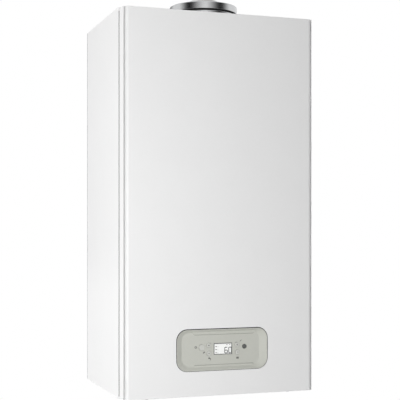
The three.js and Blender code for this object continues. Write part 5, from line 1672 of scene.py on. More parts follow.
@dataclass
class ControlBox:
    """Control box behind the fascia: case with hinge pins, lid with vents, main board with its components."""

    half_width: float = 176.0
    front: float = -312.0
    back: float = -231.5
    low: float = 36.0
    high: float = 166.0
    wall: float = 2.5
    hinge: Pair = HINGE
    pin: float = 4.0
    pin_end: float = 182.4
    fascia: tuple[Pair, Pair, float] = ((-92.95, 100.35), (52.1, 135.1), 22.3)
    lid_back: float = -225.0
    board_front: float = -304.5
    board_back: float = -302.9

    def build(self) -> None:
        """Builds and dresses the control box."""
        add("control_box_shell", self.case(), BLACK, BOX, ["control_box_case"], edge=0.5)
        add("control_box_back_lid", self.lid(), BLACK, BOX, ["control_box_lid"], edge=0.4)
        corners = [(x, z) for x in (-164, 0, 164) for z in (45, 157)]
        add("control_box_screws", screws(Y, self.lid_back, 1, corners, 3.4), ZINC, BOX)
        self.grommets()
        self.board()

    def case(self) -> Body:
        """The moulded case, open at the back, with its fascia opening, ribs, vents, lugs and hinge pins."""
        half, wall = self.half_width, self.wall
        outer = Body.prism(Y, rectangle((-half, half), (self.low, self.high), 4), (self.front, self.back))
        inner = rectangle((wall - half, half - wall), (self.low + wall, self.high - wall), 2)
        vents = [
            Body.block(about(sign * (60 + 9 * k), 3), (-290, -256), (self.high - 5, FAR))
            for sign in (-1, 1) for k in range(9)
        ]
        shell = outer.cut(
            Body.prism(Y, inner, (self.front + wall, FAR)),
            Body.prism(Y, rectangle(*self.fascia), (-FAR, self.front + 2 * wall)),
            Body.group(vents),
        )
        y, z = self.hinge
        lug = rounded([(y - 4, 38), (y - 4, z - 4), (y + 8, z - 4), (y + 8, 38)], 3.9)
        extras = []
        for side in (-1, 1):
            extras.append(Body.prism(X, lug, mirrored(side, half - 8, half)))
            ends = mirrored(side, half - 6, self.pin_end)
            extras.append(Body.rod(X, self.pin, ends, self.hinge, 0.9))
            for k in range(3):
                spine = about(-286 + 18 * k, 2)
                rib = mirrored(side, half - 0.5, half + 1.2)
                extras.append(Body.block(rib, spine, (self.low + 8, self.high - 8)))
        return shell.union(*extras)

    def lid(self) -> Body:
        """The back lid: rim, two sunk panels, slots and stiffening ribs."""
        half = self.half_width
        seat = self.back + 0.3
        plate = Body.prism(Y, rectangle((-half, half), (self.low, self.high), 4), (seat, self.lid_back))
        rim = Body.stacked([
            (rectangle(shrunk((-half, half), inset), shrunk((self.low, self.high), inset), 2), y)
            for inset, y in ((2.8, -230), (2.8, -236.5), (5.3, -236.5), (5.3, -230))
        ], closed=True)
        sunk, slots, ribs = [], [], []
        for side in (-1, 1):
            x = mirrored(side, 12, 158)
            sunk.append(Body.prism(Y, rectangle(x, (54, 148), 8), (self.lid_back - 1.4, FAR)))
            for k in range(10):
                slot = rectangle(about(side * (38 + 10 * k), 3.4), (104, 138), 1.6)
                slots.append(Body.prism(Y, slot, EVERYWHERE))
            for level in (66, 80, 94):
                ribs.append(Body.block((x[0] + 6, x[1] - 6), (-228, -225.6), about(level, 1.8)))
        return plate.union(rim).cut(Body.group(sunk + slots)).union(*ribs)

    def grommets(self) -> None:
        """Soft grommets for the wiring along the lid's lower edge."""
        line = [(2, -226.5), (8, -226.5), (8, -223.8), (6, -222.6), (4.4, -221.4), (2, -222.4)]
        profile = rounded(line, 0.5, closed=True)
        rings = [Body.turned(Y, profile, (x, 45.5), 32) for x in (-120, -90, 90, 120)]
        add("control_box_grommets", Body.group(rings), RUBBER, BOX)

    def board(self) -> None:
        """Main board with the components that stand on its back."""
        plate = Body.prism(
            Y, rectangle((-156, 156), (46, 156), 3), (self.board_front, self.board_back)
        )
        holes = [Body.rod(Y, 2, (-FAR, 0), (x, z), sides=20) for x in (-150, 150) for z in (52, 150)]
        add("main_board_plate", plate.cut(*holes), BOARD, BOX, ["main_board"])
        face = self.board_back - 0.1
        blocks = [
            ((-140, -98), 30, (96, 134)), ((20, 46), 3.2, (70, 96)),
            ((-30, -6), 2.6, (104, 120)), ((100, 118), 15, (110, 130)),
            ((76, 94), 15, (110, 130)), ((52, 70), 15, (110, 130)),
        ]
        black = Body.group([Body.block(x, (face, face + deep), z, 1) for x, deep, z in blocks])
        add("board_black_parts", black, BLACK, BOX, edge=0.5)
        plugs = [
            Body.block(about(x, 22), (face, face + 11), (50, 58), 0.8).cut(
                Body.block(about(x, 19), (face + 3, FAR), (51.5, 56.5))
            )
            for x in range(-120, 121, 30)
        ]
        add("board_plug_row", Body.group(plugs), BUTTON, BOX, edge=0.3)
        cans = Body.group([
            Body.rod(Y, radius, (face, face + tall), spot, 0.8)
            for radius, tall, spot in (
                (7, 24, (-76, 116)), (7, 24, (-58, 116)), (4, 12, (0, 84)),
                (4, 12, (10, 84)), (5, 16, (128, 84)),
            )
        ])
        add("board_capacitors", cans, ZINC, BOX)
        fins = [Body.block(about(-78 + 4.5 * k, 1.4), (face + 2.9, face + 20), (70, 90)) for k in range(9)]
        sink = Body.block((-80, -40), (face, face + 3), (70, 90)).with_parts(*fins)
        add("board_heat_sink", sink, CAST, BOX)


# ------------ heat exchanger and burner


@dataclass
class HeatCell:
    """Heat exchanger: shell, coil, burner door with its electrodes, burner tube and the duct from the fan."""

    middle: Pair = (-49.0, 540.0)
    radius: float = 100.0
    wall: float = 3.0
    back: float = -98.0
    front: float = -232.0
    flange: float = 106.0
    door_front: float = -240.3
    exhaust: Pair = (0.0, -190.0)
    exhaust_top: float = 652.0
    water: Pair = HEATER_PIPES
    water_ends: Span = (-149.7, 51.7)
    drain: Pair = TRAP
    drain_low: float = 425.0
    coil_pitch: float = 20.0
    coil_turns: int = 5
    coil_radii: Span = (56.5, 91.5)
    coil_half: float = 8.4  # half of the flat tube's width along the coil
    coil_front: float = -215.0
    duct_z: Span = (539.0, 575.0)

    def build(self) -> None:
        """Builds and dresses the heat exchanger."""
        add("heat_cell_shell", self.shell(), COMPOSITE, stands_for=["heat_exchanger_shell"], edge=0.4)
        add("heat_cell_coil", self.coil(), STAINLESS, stands_for=["heat_exchanger_coil"], sharp=50)
        add("heat_cell_door", self.door(), CAST, stands_for=["burner_door"], edge=0.7)
        ears = circle(self.middle, 99, 6, 30)
        nuts = [nut(Y, 8, (-238.2, -243.6), spot) for spot in ears]
        studs = [Body.rod(Y, 2.4, (-233, -247), spot, 0.6, 20) for spot in ears]
        add("heat_cell_door_nuts", Body.group(nuts + studs), ZINC)
        add("burner_tube_slotted", self.tube(), STAINLESS, stands_for=["burner_tube"])
        add("burner_duct", self.duct(), CAST, stands_for=["burner_elbow"], edge=1.6)
        x, z = self.middle[0], sum(self.duct_z) / 2
        bolts = [(x + a, z + c) for a in (-29, 29) for c in (-29, 29)]
        add("burner_duct_screws", screws(Y, -246.2, -1, bolts, 4.2, 3.6), ZINC)
        self.electrodes()

    def shell(self) -> Body:
        """The shell with its ribs, flange, exhaust, water and drain stubs."""
        inner, edge, foot = self.radius - self.wall, self.front + 6, self.radius
        line = [(0, self.back - self.wall), (inner, self.back - self.wall), (inner, self.front)]
        line += [(self.flange, self.front), (self.flange, edge), (self.radius, edge)]
        for y in (-208, -184, -160, -136, -112):
            line += [(foot, y - 2.4), (foot + 1.6, y - 1.6), (foot + 1.6, y + 1.6), (foot, y + 2.4)]
        line += [(self.radius, self.back - 6), (self.radius - 6, self.back), (0, self.back)]
        shell = Body.turned(Y, line, self.middle, 96)
        top = self.exhaust_top
        mouth = [(0, 560), (30, 560), (30, top - 6), (31.4, top - 4.6), (31.4, top - 1.2), (30.4, top)]
        ends = self.water_ends
        stubs = [
            Body.turned(Z, [*mouth, (0, top)], self.exhaust, 64),
            Body.rod(X, 9, ends, self.water, 0.6),
            Body.rod(X, 11, (ends[0] + 3, ends[0] + 6), self.water, 0.6),
            Body.rod(X, 11, (ends[1] - 6, ends[1] - 3), self.water, 0.6),
            Body.rod(Z, 10, (self.drain_low, 460), self.drain, 0.6),
        ]
        hollow = Body.rod(Y, inner, (-FAR, self.back - self.wall), self.middle, sides=96)
        bores = [
            Body.rod(Z, 28.3, (540, FAR), self.exhaust, sides=64),
            Body.rod(X, 6, EVERYWHERE, self.water),
            Body.rod(Z, 7, (-FAR, 480), self.drain),
        ]
        return shell.union(*stubs).cut(hollow, *bores)

    def coil(self) -> Body:
        """The flat stainless tube, wound into a coil."""
        x, z = self.middle
        inner, outer = self.coil_radii
        half = (outer - inner) / 2
        section = rectangle((-half, half), (-self.coil_half, self.coil_half), 6, 3)
        steps = 44  # round one turn
        rings = []
        for k in range(steps * (self.coil_turns - 1) + 1):
            angle = 2 * math.pi * k / steps
            y = self.coil_front + self.coil_pitch * (0.5 + k / steps)
            ring = []
            for across, along in section:
                r = (inner + outer) / 2 + across
                ring.append((x + r * math.cos(angle), y + along, z + r * math.sin(angle)))
            rings.append(ring)
        return Body.loft(rings)

    def door(self) -> Body:
        """The cast door with its ears, ribs, electrode seats and sight glass seat."""
        back, front = self.front - 0.3, self.door_front
        line = [(17, back), (98, back), (98, back - 6), (92, back - 6), (88, front), (40, front)]
        line += [(37, front - 1.2), (17, front - 1.2)]
        ears = [Body.rod(Y, 7, (back, back - 5.9), spot) for spot in circle(self.middle, 99, 6, 30)]
        ribs = Body.block((38, 89), (front - 1.3, front + 1), (-1.3, 1.3)).ringed(Y, self.middle, 12, 15)
        seats = [Body.rod(Y, radius, (front - 1.8, front + 1), at) for radius, at in (
            (12, (-20, 478)), (12, (-92, 500)), (10, (-94, 590)),
        )]
        return Body.turned(Y, line, self.middle, 96).union(*ears, Body.group(ribs), *seats)

    def tube(self) -> Body:
        """The burner tube: closed at its far end, with rows of flame slots."""
        y, end = self.front, self.front + 92
        line = [(0, end - 1.5), (30.4, end - 1.5), (32.5, end - 3.6), (32.5, y), (34, y), (34, end - 3)]
        line += [(31, end), (0, end)]
        slots = []
        for row in range(6):
            slot = Body.block((30, 36), about(y + 16 + 12 * row, 8), (-0.7, 0.7))
            slots += slot.ringed(Y, self.middle, 20, 9 * (row % 2))
        return Body.turned(Y, line, self.middle, 80).cut(Body.group(slots))

    def duct(self) -> Body:
        """The cast duct: a bent box with a flange at the fan and a square one on the door."""
        x = self.middle[0]
        back = self.door_front - 0.3
        plan = [
            (61.7, -227), (61.7, -263), (37.7, -287), (x - 15, -287), (x - 23, -279), (x - 23, back),
            (x + 23, back), (x + 23, -251.6), (29.7, -251.6), (57.7, back), (57.7, -227),
        ]
        z = sum(self.duct_z) / 2
        body = Body.prism(Z, rounded(plan, 5, closed=True), self.duct_z)
        plate = Body.prism(
            Y, rectangle(about(x, 70), about(z, 70), 9), (back - 5.6, back)
        )
        collar = Body.block((56.5, 61.7), (-266, -226), (self.duct_z[0] - 3, self.duct_z[1] + 3))
        ribs = [
            Body.prism(Z, [(-10, -286), (30, -286), (48, -270), (48, -262), (-10, -262)], span)
            for span in (about(self.duct_z[0] - 0.6, 1.8), about(self.duct_z[1] + 0.6, 1.8))
        ]
        return body.union(plate, collar, *ribs)

    def electrodes(self) -> None:
        """Ignition and flame electrodes on the door, the sight glass, and the igniter with its leads."""
        ceramic, metal, boots = Body(), Body(), Body()
        front = self.door_front - 1.8
        for x, z in ((-20, 478), (-92, 500)):
            oval = rectangle((x - 15, x + 15), (z - 6, z + 6), 5.9, 4)
            plate = Body.prism(Y, oval, (front - 1.8, front))
            metal = metal.with_parts(plate, screws(Y, front - 1.8, -1, [(x - 10, z), (x + 10, z)], 2.6))
            line = [(0, front - 1), (4.2, front - 1), (4.2, front - 5), (3.4, front - 6)]
            for k in range(3):
                start = front - 7 - 4 * k
                line += [(3.4, start), (4, start - 1), (4, start - 2.2), (3.4, start - 3.2)]
            line += [(3, front - 20), (0, front - 20)]
            ceramic = ceramic.with_parts(Body.turned(Y, line, (x, z), 28))
            boot = Body.pipe([(x, front - 17, z), (x, front - 32, z), (x, front - 32, z - 16)], 7, 4.6, 0)
            boots = boots.with_parts(boot)
        add("electrode_plates", metal, ZINC)
        add("electrode_ceramics", ceramic, CERAMIC)
        add("electrode_boots", boots, RUBBER)
        glass = [(0, -240), (9, -240), (9, -243), (6.4, -244.4), (6, -243), (0, -243)]
        add("sight_glass_ring", Body.turned(Y, glass, (-94, 590), 40), BRASS)
        self.igniter()

    def igniter(self) -> None:
        """The igniter on its bracket from the left side panel, and the two leads."""
        body = Body.block((-142, -100), (-200, -162), (298, 344), 4)
        towers = [Body.rod(Z, 5, (343, 352), at, 1) for at in ((-112, -180), (-130, -180))]
        fins = [Body.block(about(-136 + 6 * k, 1.6), (-201.4, -199), (302, 340)) for k in range(6)]
        add("igniter_case", body.union(*towers, *fins), BLACK, edge=0.8)
        line = [(-198.6, 320), (-198.6, 292), (-178, 292), (-178, 296.6), (-98, 296.6)]
        bracket = Body.prism(Y, folded(line, 1.2, 2), (-196, -166))
        bolt = screws(X, -197.2, 1, [(-189, 308), (-173, 308)], 3.4)
        add("igniter_bracket", bracket.with_parts(bolt), ZINC, edge=0.3)
        leads = [
            [(-20, -274.1, 466), (-20, -274.1, 410), (-112, -192, 392), (-112, -180, 372),
             (-112, -180, 350)],
            [(-92, -274.1, 488), (-92, -274.1, 420), (-130, -190, 400), (-130, -180, 376),
             (-130, -180, 350)],
        ]
        wires = Body.group([Body.pipe(line, 11, 2.1, 0, 14) for line in leads])
        add("igniter_leads", wires, CABLE)


# ------------ fan and gas train


@dataclass
class FanTrain:
    """Premix fan with its wheel, motor and mixer, the gas valve, and the two gas pipes."""

    at: Pair = (128.0, 600.0)
    front: float = -265.0
    back: float = -225.0
    radius: float = 60.0
    wall: float = 4.0
    inlet: float = 22.0
    duct_x: Span = (62.0, 128.0)
    duct_z: Span = (538.0, 576.0)
    wheel: float = 48.0
    blades: int = 12
    valve_x: float = 140.0
    valve_outlet: Pair = (128.0, -150.0)
    mixer_inlet: Pair = (128.0, -190.0)
    valve_z: Span = (330.0, 430.0)

    def build(self) -> None:
        """Builds and dresses the fan and the gas train."""
        add("fan_volute", self.volute(), CAST, stands_for=["fan_housing"], edge=0.8)
        add("fan_wheel", self.fan_wheel(), CAST, "fan_impeller", ["fan_impeller"])
        self.motor()
        add("mixer_body", self.mixer(), COMPOSITE, stands_for=["gas_air_mixer"], edge=0.5)
        bolts = circle(self.at, 33.2, 6, 0)
        add("mixer_screws", screws(Y, -218.8, 1, bolts, 2.2, 2), ZINC)
        self.gas_valve()
        self.pipes()

    def volute(self) -> Body:
        """The volute with its outlet duct, screw lugs and ribbed back."""
        spots = circle(self.at, self.radius - 1, 6, 15)
        lugs = [Body.rod(Y, 5.4, (self.front, self.front + 10), spot) for spot in spots]
        middle = self.at
        duct = Body.block(self.duct_x, (self.front, self.back), self.duct_z)
        collar = Body.block((62, 66), (self.front - 1, self.back + 1), (536, 578))
        ribs = Body.block((40, 58), (self.back - 1, self.back + 1.4), (-1.2, 1.2)).ringed(Y, middle, 10)
        whole = Body.rod(Y, self.radius, (self.front, self.back), middle, 2.5, 96).union(duct, collar, *lugs)
        wall = self.wall
        inside = (self.front + wall, self.back - wall)
        return whole.union(Body.group(ribs)).cut(
            Body.rod(Y, self.radius - wall, (-FAR, self.back - wall), middle, sides=96),
            Body.rod(Y, self.inlet, EVERYWHERE, middle, sides=64),
            Body.block((-FAR, middle[0]), inside, (self.duct_z[0] + wall, self.duct_z[1] - wall)),
        )

    def fan_wheel(self) -> Body:
        """The wheel: plate, hub, backward blades and the ring round its eye."""
        x, z = self.at
        line = [(0, -260), (self.wheel, -260), (self.wheel, -258.2), (10, -258.2), (8, -250), (0, -248)]
        ring = [(26, -236), (26, -234.4), (30, -234.4), (self.wheel, -238), (self.wheel, -239.4), (30, -236)]
        whole = Body.turned(Y, line, self.at, 64).with_parts(Body.turned(Y, ring, self.at, 64))
        for k in range(self.blades):
            start = 2 * math.pi * k / self.blades
            inner, outer = [], []
            for s in range(7):
                r = 24 + (self.wheel - 0.6 - 24) * s / 6
                angle = start + 0.62 * (s / 6) ** 1.2
                for side, offset in ((inner, -0.6), (outer, 0.6)):
                    turn = angle + offset / r
                    side.append((x + r * math.cos(turn), z + r * math.sin(turn)))
            whole = whole.with_parts(Body.prism(Y, inner + outer[::-1], (-258.4, -237.6)))
        return whole

    def motor(self) -> None:
        """The motor: mounting plate, round case with slots, connector and screws."""
        face = self.front - 0.3
        line = [
            (0, face), (58, face), (58, face - 3), (44, face - 3), (41, face - 4.4), (38, face - 7),
            (38, -296.6), (34.6, -300.2), (12, -300.2), (11, -299.2), (0, -299.2),
        ]
        case = Body.turned(Y, rounded(line, 1.2, steps=3), self.at, 80)
        slots = Body.block((36.6, 39), (-294, -277), (-1.2, 1.2)).ringed(Y, self.at, 24)
        add("fan_motor_case", case.cut(Body.group(slots)), BLACK, stands_for=["fan_motor"])
        spots = circle(self.at, 53, 6, 15)
        add("fan_motor_screws", screws(Y, face - 3, -1, spots, 3.4, 3), ZINC)
        plug = Body.block((165, 184), (-292, -276), (608, 632), 2)
        pocket = Body.block((167, 182), (-290, -278), (-FAR, 612))
        add("fan_motor_plug", plug.cut(pocket), BUTTON, edge=0.5)

    def mixer(self) -> Body:
        """The mixer on the fan's inlet: flange, ribbed throat, flared mouth and gas boss."""
        line = [(22, -224.7), (36, -224.7), (36, -218.7), (30, -218.7)]
        for y in (-213, -207):
            line += [(30, y - 1.4), (31.2, y - 0.8), (31.2, y + 0.8), (30, y + 1.4)]
        line += [(30, -178.7), (38, -167.3), (36.8, -166.8), (28.4, -174), (22, -190)]
        body = Body.turned(Y, line, self.at, 80)
        boss = Body.rod(Z, 9.5, (548, 580), self.mixer_inlet)
        fin = Body.block(about(128, 2), (-215, -185), (566, 571.5))
        return body.union(boss, fin).cut(Body.rod(Y, self.inlet, EVERYWHERE, self.at, sides=64))

    def gas_valve(self) -> None:
        """Gas valve: cast body, two black coils, connector, screws and brass fittings."""
        x = self.valve_x
        low, high = self.valve_z
        body = Body.block((x - 40, x + 40), (-185, -95), (low + 15, high - 12), 5)
        body = body.union(
            Body.block((x - 28, x + 28), (-173, -95), (low, high), 4),
            Body.rod(Z, 14, (low, low + 20), (x, PIPE_Y)),
            Body.rod(Z, 13, (high - 20, high), self.valve_outlet),
        )
        pockets = [
            Body.block(about(x + side * 22, 26), (-FAR, -183), (low + 22, low + 44), 3)
            for side in (-1, 1)
        ]
        add("gas_valve_body", body.cut(*pockets), CAST, stands_for=["gas_valve"], edge=1.2)
        coils = Body()
        for side in (-20, 20):
            line = [(0, -184.5), (16.6, -184.5), (17, -187), (17, -204), (16, -206), (12, -207.4)]
            line += [(5, -207.4), (4.6, -209), (0, -209)]
            coils = coils.with_parts(Body.turned(Y, rounded(line, 0.8, steps=2), (x + side, high - 34), 56))
        plug = Body.block(about(x, 34), (-206, -188), (high - 16, high - 4), 2)
        add("gas_valve_coils", coils.with_parts(plug), BLACK, edge=0.4)
        fittings = [nut(Y, 10, (-184, -190), spot) for spot in ((x - 30, low + 52), (x + 30, low + 52))]
        fittings.append(nut(Y, 15, (-184, -193), (x, low + 56)))
        add("gas_valve_fittings", Body.group(fittings), BRASS)
        spots = [(x + a, c) for a in (-35, 35) for c in (low + 20, high - 17)]
        add("gas_valve_screws", screws(Y, -185, -1, spots, 3.2, 2.8), ZINC)

    def pipes(self) -> None:
        """The gas pipe from below and the feed pipe to the mixer, with their union nuts."""
        x, out, into = self.valve_x, self.valve_outlet, self.mixer_inlet
        riser = [(0, PIPE_Y, 22), (0, PIPE_Y, 285), (x, PIPE_Y, 285), (x, PIPE_Y, 329.7)]
        feed = [(*out, 430.3), (*out, 475), (*into, 495), (*into, 547.7)]
        add("gas_pipe_bend", Body.pipe(riser, 15, 7.5, 6.5, 28), COPPER, stands_for=["gas_pipe"])
        add("gas_feed_bend", Body.pipe(feed, 15, 7.5, 6.5, 28), COPPER, stands_for=["gas_feed_pipe"])
        nuts = [
            nut(Z, 24, (23, 37), (0, PIPE_Y), 7.4), nut(Z, 22, (316, 329.6), (x, PIPE_Y), 7.4),
            nut(Z, 20, (430.4, 442), out, 7.4), nut(Z, 18, (537, 547.6), into, 7.4),
        ]
        add("gas_pipe_nuts", Body.group(nuts), BRASS)


# ------------ water side


@dataclass
class WaterSide:
    """Vessel, manifolds, diverter, valves, plate heat exchanger, pump, air vent, pipes and trap."""

    outer: float = 178.0
    inner: float = 50.0
    manifold_y: Span = (-150.0, -50.0)
    manifold_z: Span = (22.0, 110.0)
    pump: Pair = (130.0, 168.0)
    pump_y: Span = (-112.0, -62.0)
    pump_radius: float = 52.0
    pump_outlet: Pair = (84.0, -87.0)
    vent: Pair = (130.0, -87.0)
    diverter: Pair = (-118.0, -122.0)
    relief: Pair = (110.0, 60.0)
    turbine: Pair = (WATER_X, PIPE_Y)
    filling: Pair = FILLING_TAP
    return_x: float = 84.0
    flow_x: float = -168.0
    flow_foot: Pair = (-168.0, -75.0)
    exchanger_x: Span = (-84.0, 70.0)
    exchanger_y: Span = (-98.0, -48.0)
    exchanger_z: Span = (125.0, 205.0)
    plates: int = 10
    trap: Pair = TRAP

    def build(self) -> None:
        """Builds and dresses the water side."""
        self.vessel()
        self.flow_side()
        self.return_side()
        self.plate_exchanger()
        self.pump_group()
        self.pipes()
        self.condensate_trap()

    def vessel(self) -> None:
        """Expansion vessel with its seam, nozzle, air valve and pads to the back frame, and its pipe."""
        line = [(0, -92), (128, -84), (160, -60), (160, -52), (163, -51), (163, -47)]
        line += [(160, -46), (160, -38), (128, -14), (0, -6)]
        smooth = rounded(line[:3], 26, steps=8)[:-1] + line[2:8] + rounded(line[7:], 26, steps=8)[1:]
        body = Body.turned(Y, rounded(smooth, 1.4, steps=2), (0, 515), 112)
        nozzle = Body.rod(Z, 8, (341, 364), (0, -49), 0.5)
        add("expansion_vessel_shell", body.union(nozzle), GREY_PAINT, stands_for=["expansion_vessel"])
        pads = [Body.rod(Y, 14, (-9, -1.6), (x, z), 0.6) for x, z in ((-90, 590), (90, 590), (0, 425))]
        add("expansion_vessel_pads", Body.group(pads), ZINC)
        valve = Body.rod(Z, 5, (660, 668), (-64, -49), 0.5).with_parts(
            ribbed(Z, 4, (668, 682), (-64, -49), 1.4, 0.5)
        )
        add("expansion_vessel_valve", valve, BRASS)
        corners = [
            (0, -49, 340.7), (0, -49, 311), (166, -33, 281), (166, -33, 85), (166, -49.7, 85)
        ]
        add("vessel_pipe_bend", Body.pipe(corners, 12, 5, 4, 20), COPPER, stands_for=["vessel_pipe"])
        add("vessel_pipe_nut", nut(Z, 17, (330, 340.8), (0, -49), 5.1), BRASS)

    def manifold(self, side: float, step_z: float, *cuts: Body) -> Body:
        """A moulded manifold: block with stepped corners and ribs, less its bores.

        Args:
            side: -1 for the left, 1 for the right.
            step_z: Height above which its inner front corner steps back.
            cuts: The bores.

        Returns:
            The closed body.
        """
        x = mirrored(side, self.inner, self.outer)
        y, z = self.manifold_y, self.manifold_z
        body = Body.block(x, y, z, 3)
        corner = mirrored(side, self.outer - 16, FAR)
        inset = mirrored(side, -FAR, self.inner + 30)
        grooves = []
        for k in range(5):
            level = z[0] + 12 + 14 * k
            wide = mirrored(side, self.inner + 34, self.outer - 20)
            grooves.append(Body.block(wide, (y[0] - 5, y[0] + 3), about(level, 5)))
            grooves.append(Body.block(x, (y[1] - 3, y[1] + 5), about(level, 5)))
        return body.cut(
            Body.block(corner, (-FAR, y[0] + 22), EVERYWHERE),
            Body.block(inset, (-FAR, y[0] + 26), (step_z, FAR)),
            Body.group(grooves),
            *cuts,
        )

    def flow_side(self) -> None:
        """Flow manifold, diverter stem with its rings, and the diverter's motor."""
        bore = Body.rod(Z, 12.5, (50, FAR), self.diverter)
        block = self.manifold(-1, 56, bore)
        add("flow_manifold_block", block, COMPOSITE, stands_for=["flow_manifold"], edge=0.9)
        stem = [
            (0, 56), (10.6, 56), (11, 56.4), (11, 58), (10, 58.2), (10, 59.8), (11, 60), (11, 62),
            (3.5, 64), (3.5, 84), (2.8, 84.6), (2.8, 87.4), (3.5, 88), (3.5, 100.8), (0, 100.8),
        ]
        spindle = Body.turned(Z, stem, self.diverter, 48)
        add("diverter_spindle", spindle, BRASS, "diverter_stem", ["diverter_stem"])
        seal = rounded([(10.1, 58.3), (11.9, 58.3), (11.9, 59.7), (10.1, 59.7)], 0.6, closed=True)
        add("diverter_ring", Body.turned(Z, seal, self.diverter, 48), RUBBER, "diverter_stem")
        x, y = self.diverter
        case = Body.block(about(x, 44), about(y, 52), (124.3, 176.3), 5)
        line = [(0, 110.3), (17, 110.3), (17, 120), (15, 121), (15, 125.5), (0, 125.5)]
        collar = Body.turned(Z, line, self.diverter, 56)
        grips = Body.block((15.4, 18), (-1.4, 1.4), (111, 119.4)).ringed(Z, self.diverter, 12)
        socket = Body.block((x - 28, x - 20), about(y, 28), (130.3, 150.3), 1.5)
        band = Body.block(about(x, 45.2), about(y, 53.2), (151, 154), 5.4)
        motor = case.union(collar, socket, band, Body.group(grips))
        pocket = Body.block((x - 40, x - 24), about(y, 24), (132.5, 148))
        add("diverter_motor_case", motor.cut(pocket), BLACK, stands_for=["diverter_motor"], edge=0.8)
        spots = [(x + a, y + b) for a in (-17, 17) for b in (-21, 21)]
        add("diverter_motor_screws", screws(Z, 176.3, 1, spots, 2.4, 1.8), ZINC)

    def return_side(self) -> None:
        """Return manifold with the relief valve and its knob, the filling tap's knob and the flow turbine."""
        bore = Body.rod(Z, 9.5, (-FAR, 66), self.turbine)
        body = self.manifold(1, 76, bore).union(Body.rod(Y, 10, (-168, -148), self.relief, 0.5))
        add("return_manifold_block", body, COMPOSITE, stands_for=["return_manifold"], edge=0.9)
        add("relief_valve_body", nut(Y, 24, (-162, -150.2), self.relief, 9.9), BRASS)
        line = [(0, -168.3), (11, -168.3), (11, -171), (10.4, -172), (10, -187), (8.6, -188.2), (0, -188.2)]
        knob = Body.turned(Y, line, self.relief, 56)
        grip = rounded([(0, -185), (14, -185), (14, -171.4), (0, -171.4)], 2.4)
        for wing in Body.prism(Z, grip, (-2.3, 2.3)).ringed(Y, self.relief, 4):
            knob = knob.union(wing)
        add("relief_knob", knob, RED, "relief_valve_knob", ["relief_valve_knob"], edge=0.8)
        a, b = self.filling
        line = [(0, -16), (7.6, -16), (8.4, -15.2), (9, 3), (8.2, 4), (4, 4), (4, 21.6), (0, 21.6)]
        tap = Body.turned(Z, line, self.filling, 48)
        grip = rounded([(a - 13, -2.4), (a - 13, -15.6), (a + 13, -15.6), (a + 13, -2.4)], 3, closed=True)
        wing = Body.prism(Y, grip, about(b, 6.6))
        add("filling_knob", tap.union(wing), BLUE, "filling_tap_knob", ["filling_tap_knob"], edge=0.8)
        add("flow_turbine_wheel", self.turbine_wheel(), BUTTON, "flow_turbine", ["flow_turbine"])

    def turbine_wheel(self) -> Body:
        """The flow sensor's wheel with six twisted blades."""
        x, y = self.turbine
        wheel = Body.rod(Z, 2.6, (34.2, 53.8), self.turbine, 0.8, 24)
        for k in range(6):
            rings = []
            for s in range(9):
                z = 37.2 + 13.6 * s / 8
                turn = math.radians(60 * k + 42 * s / 8)
                way = Vector((math.cos(turn), math.sin(turn)))
                side = Vector((-math.sin(turn), math.cos(turn)))
                root, tip = way * 2, way * 7.8
                flat = (root - side * 0.5, tip - side * 0.4, tip + side * 0.4, root + side * 0.5)
                rings.append([(x + p.x, y + p.y, z) for p in flat])
            wheel = wheel.with_parts(Body.loft(rings))
        return wheel

    def plate_exchanger(self) -> None:
        """A pack of pressed plates, with the pressed chevrons on its front plate."""
        x, y, z = self.exchanger_x, self.exchanger_y, self.exchanger_z
        pitch = (y[1] - y[0]) / self.plates
        rings = [
            (rectangle(shrunk(x, inset), shrunk(z, inset), 12 - inset, 5), along)
            for inset, along in ((1.2, 0), (0, 0.7), (0, 2.4), (3.6, 3.6), (3.6, pitch))
        ]
        starts = [y[0] + k * pitch for k in range(self.plates)]
        plates = [Body.stacked([(outline, start + along) for outline, along in rings]) for start in starts]
        add("plate_pack", Body.group(plates), STAINLESS, stands_for=["plate_exchanger"])
        middle, (low, high) = (z[0] + z[1]) / 2, shrunk(z, 12)
        pressed = []
        for k in range(9):
            a = x[0] + 34 + 9.6 * k
            line = [(a, low), (a + 12, middle), (a, high)]
            line += [(a + 3.6, high), (a + 15.6, middle), (a + 3.6, low)]
            pressed.append(Body.prism(Y, line, (y[0] - 0.9, y[0] + 0.2)))
        for spot in [(a, c) for a in shrunk(x, 16) for c in shrunk(z, 16)]:
            pressed.append(Body.rod(Y, 10, (y[0] - 1.8, y[0] + 0.5), spot, 0.7))
        add("plate_chevrons", Body.group(pressed), STAINLESS, edge=0.4)

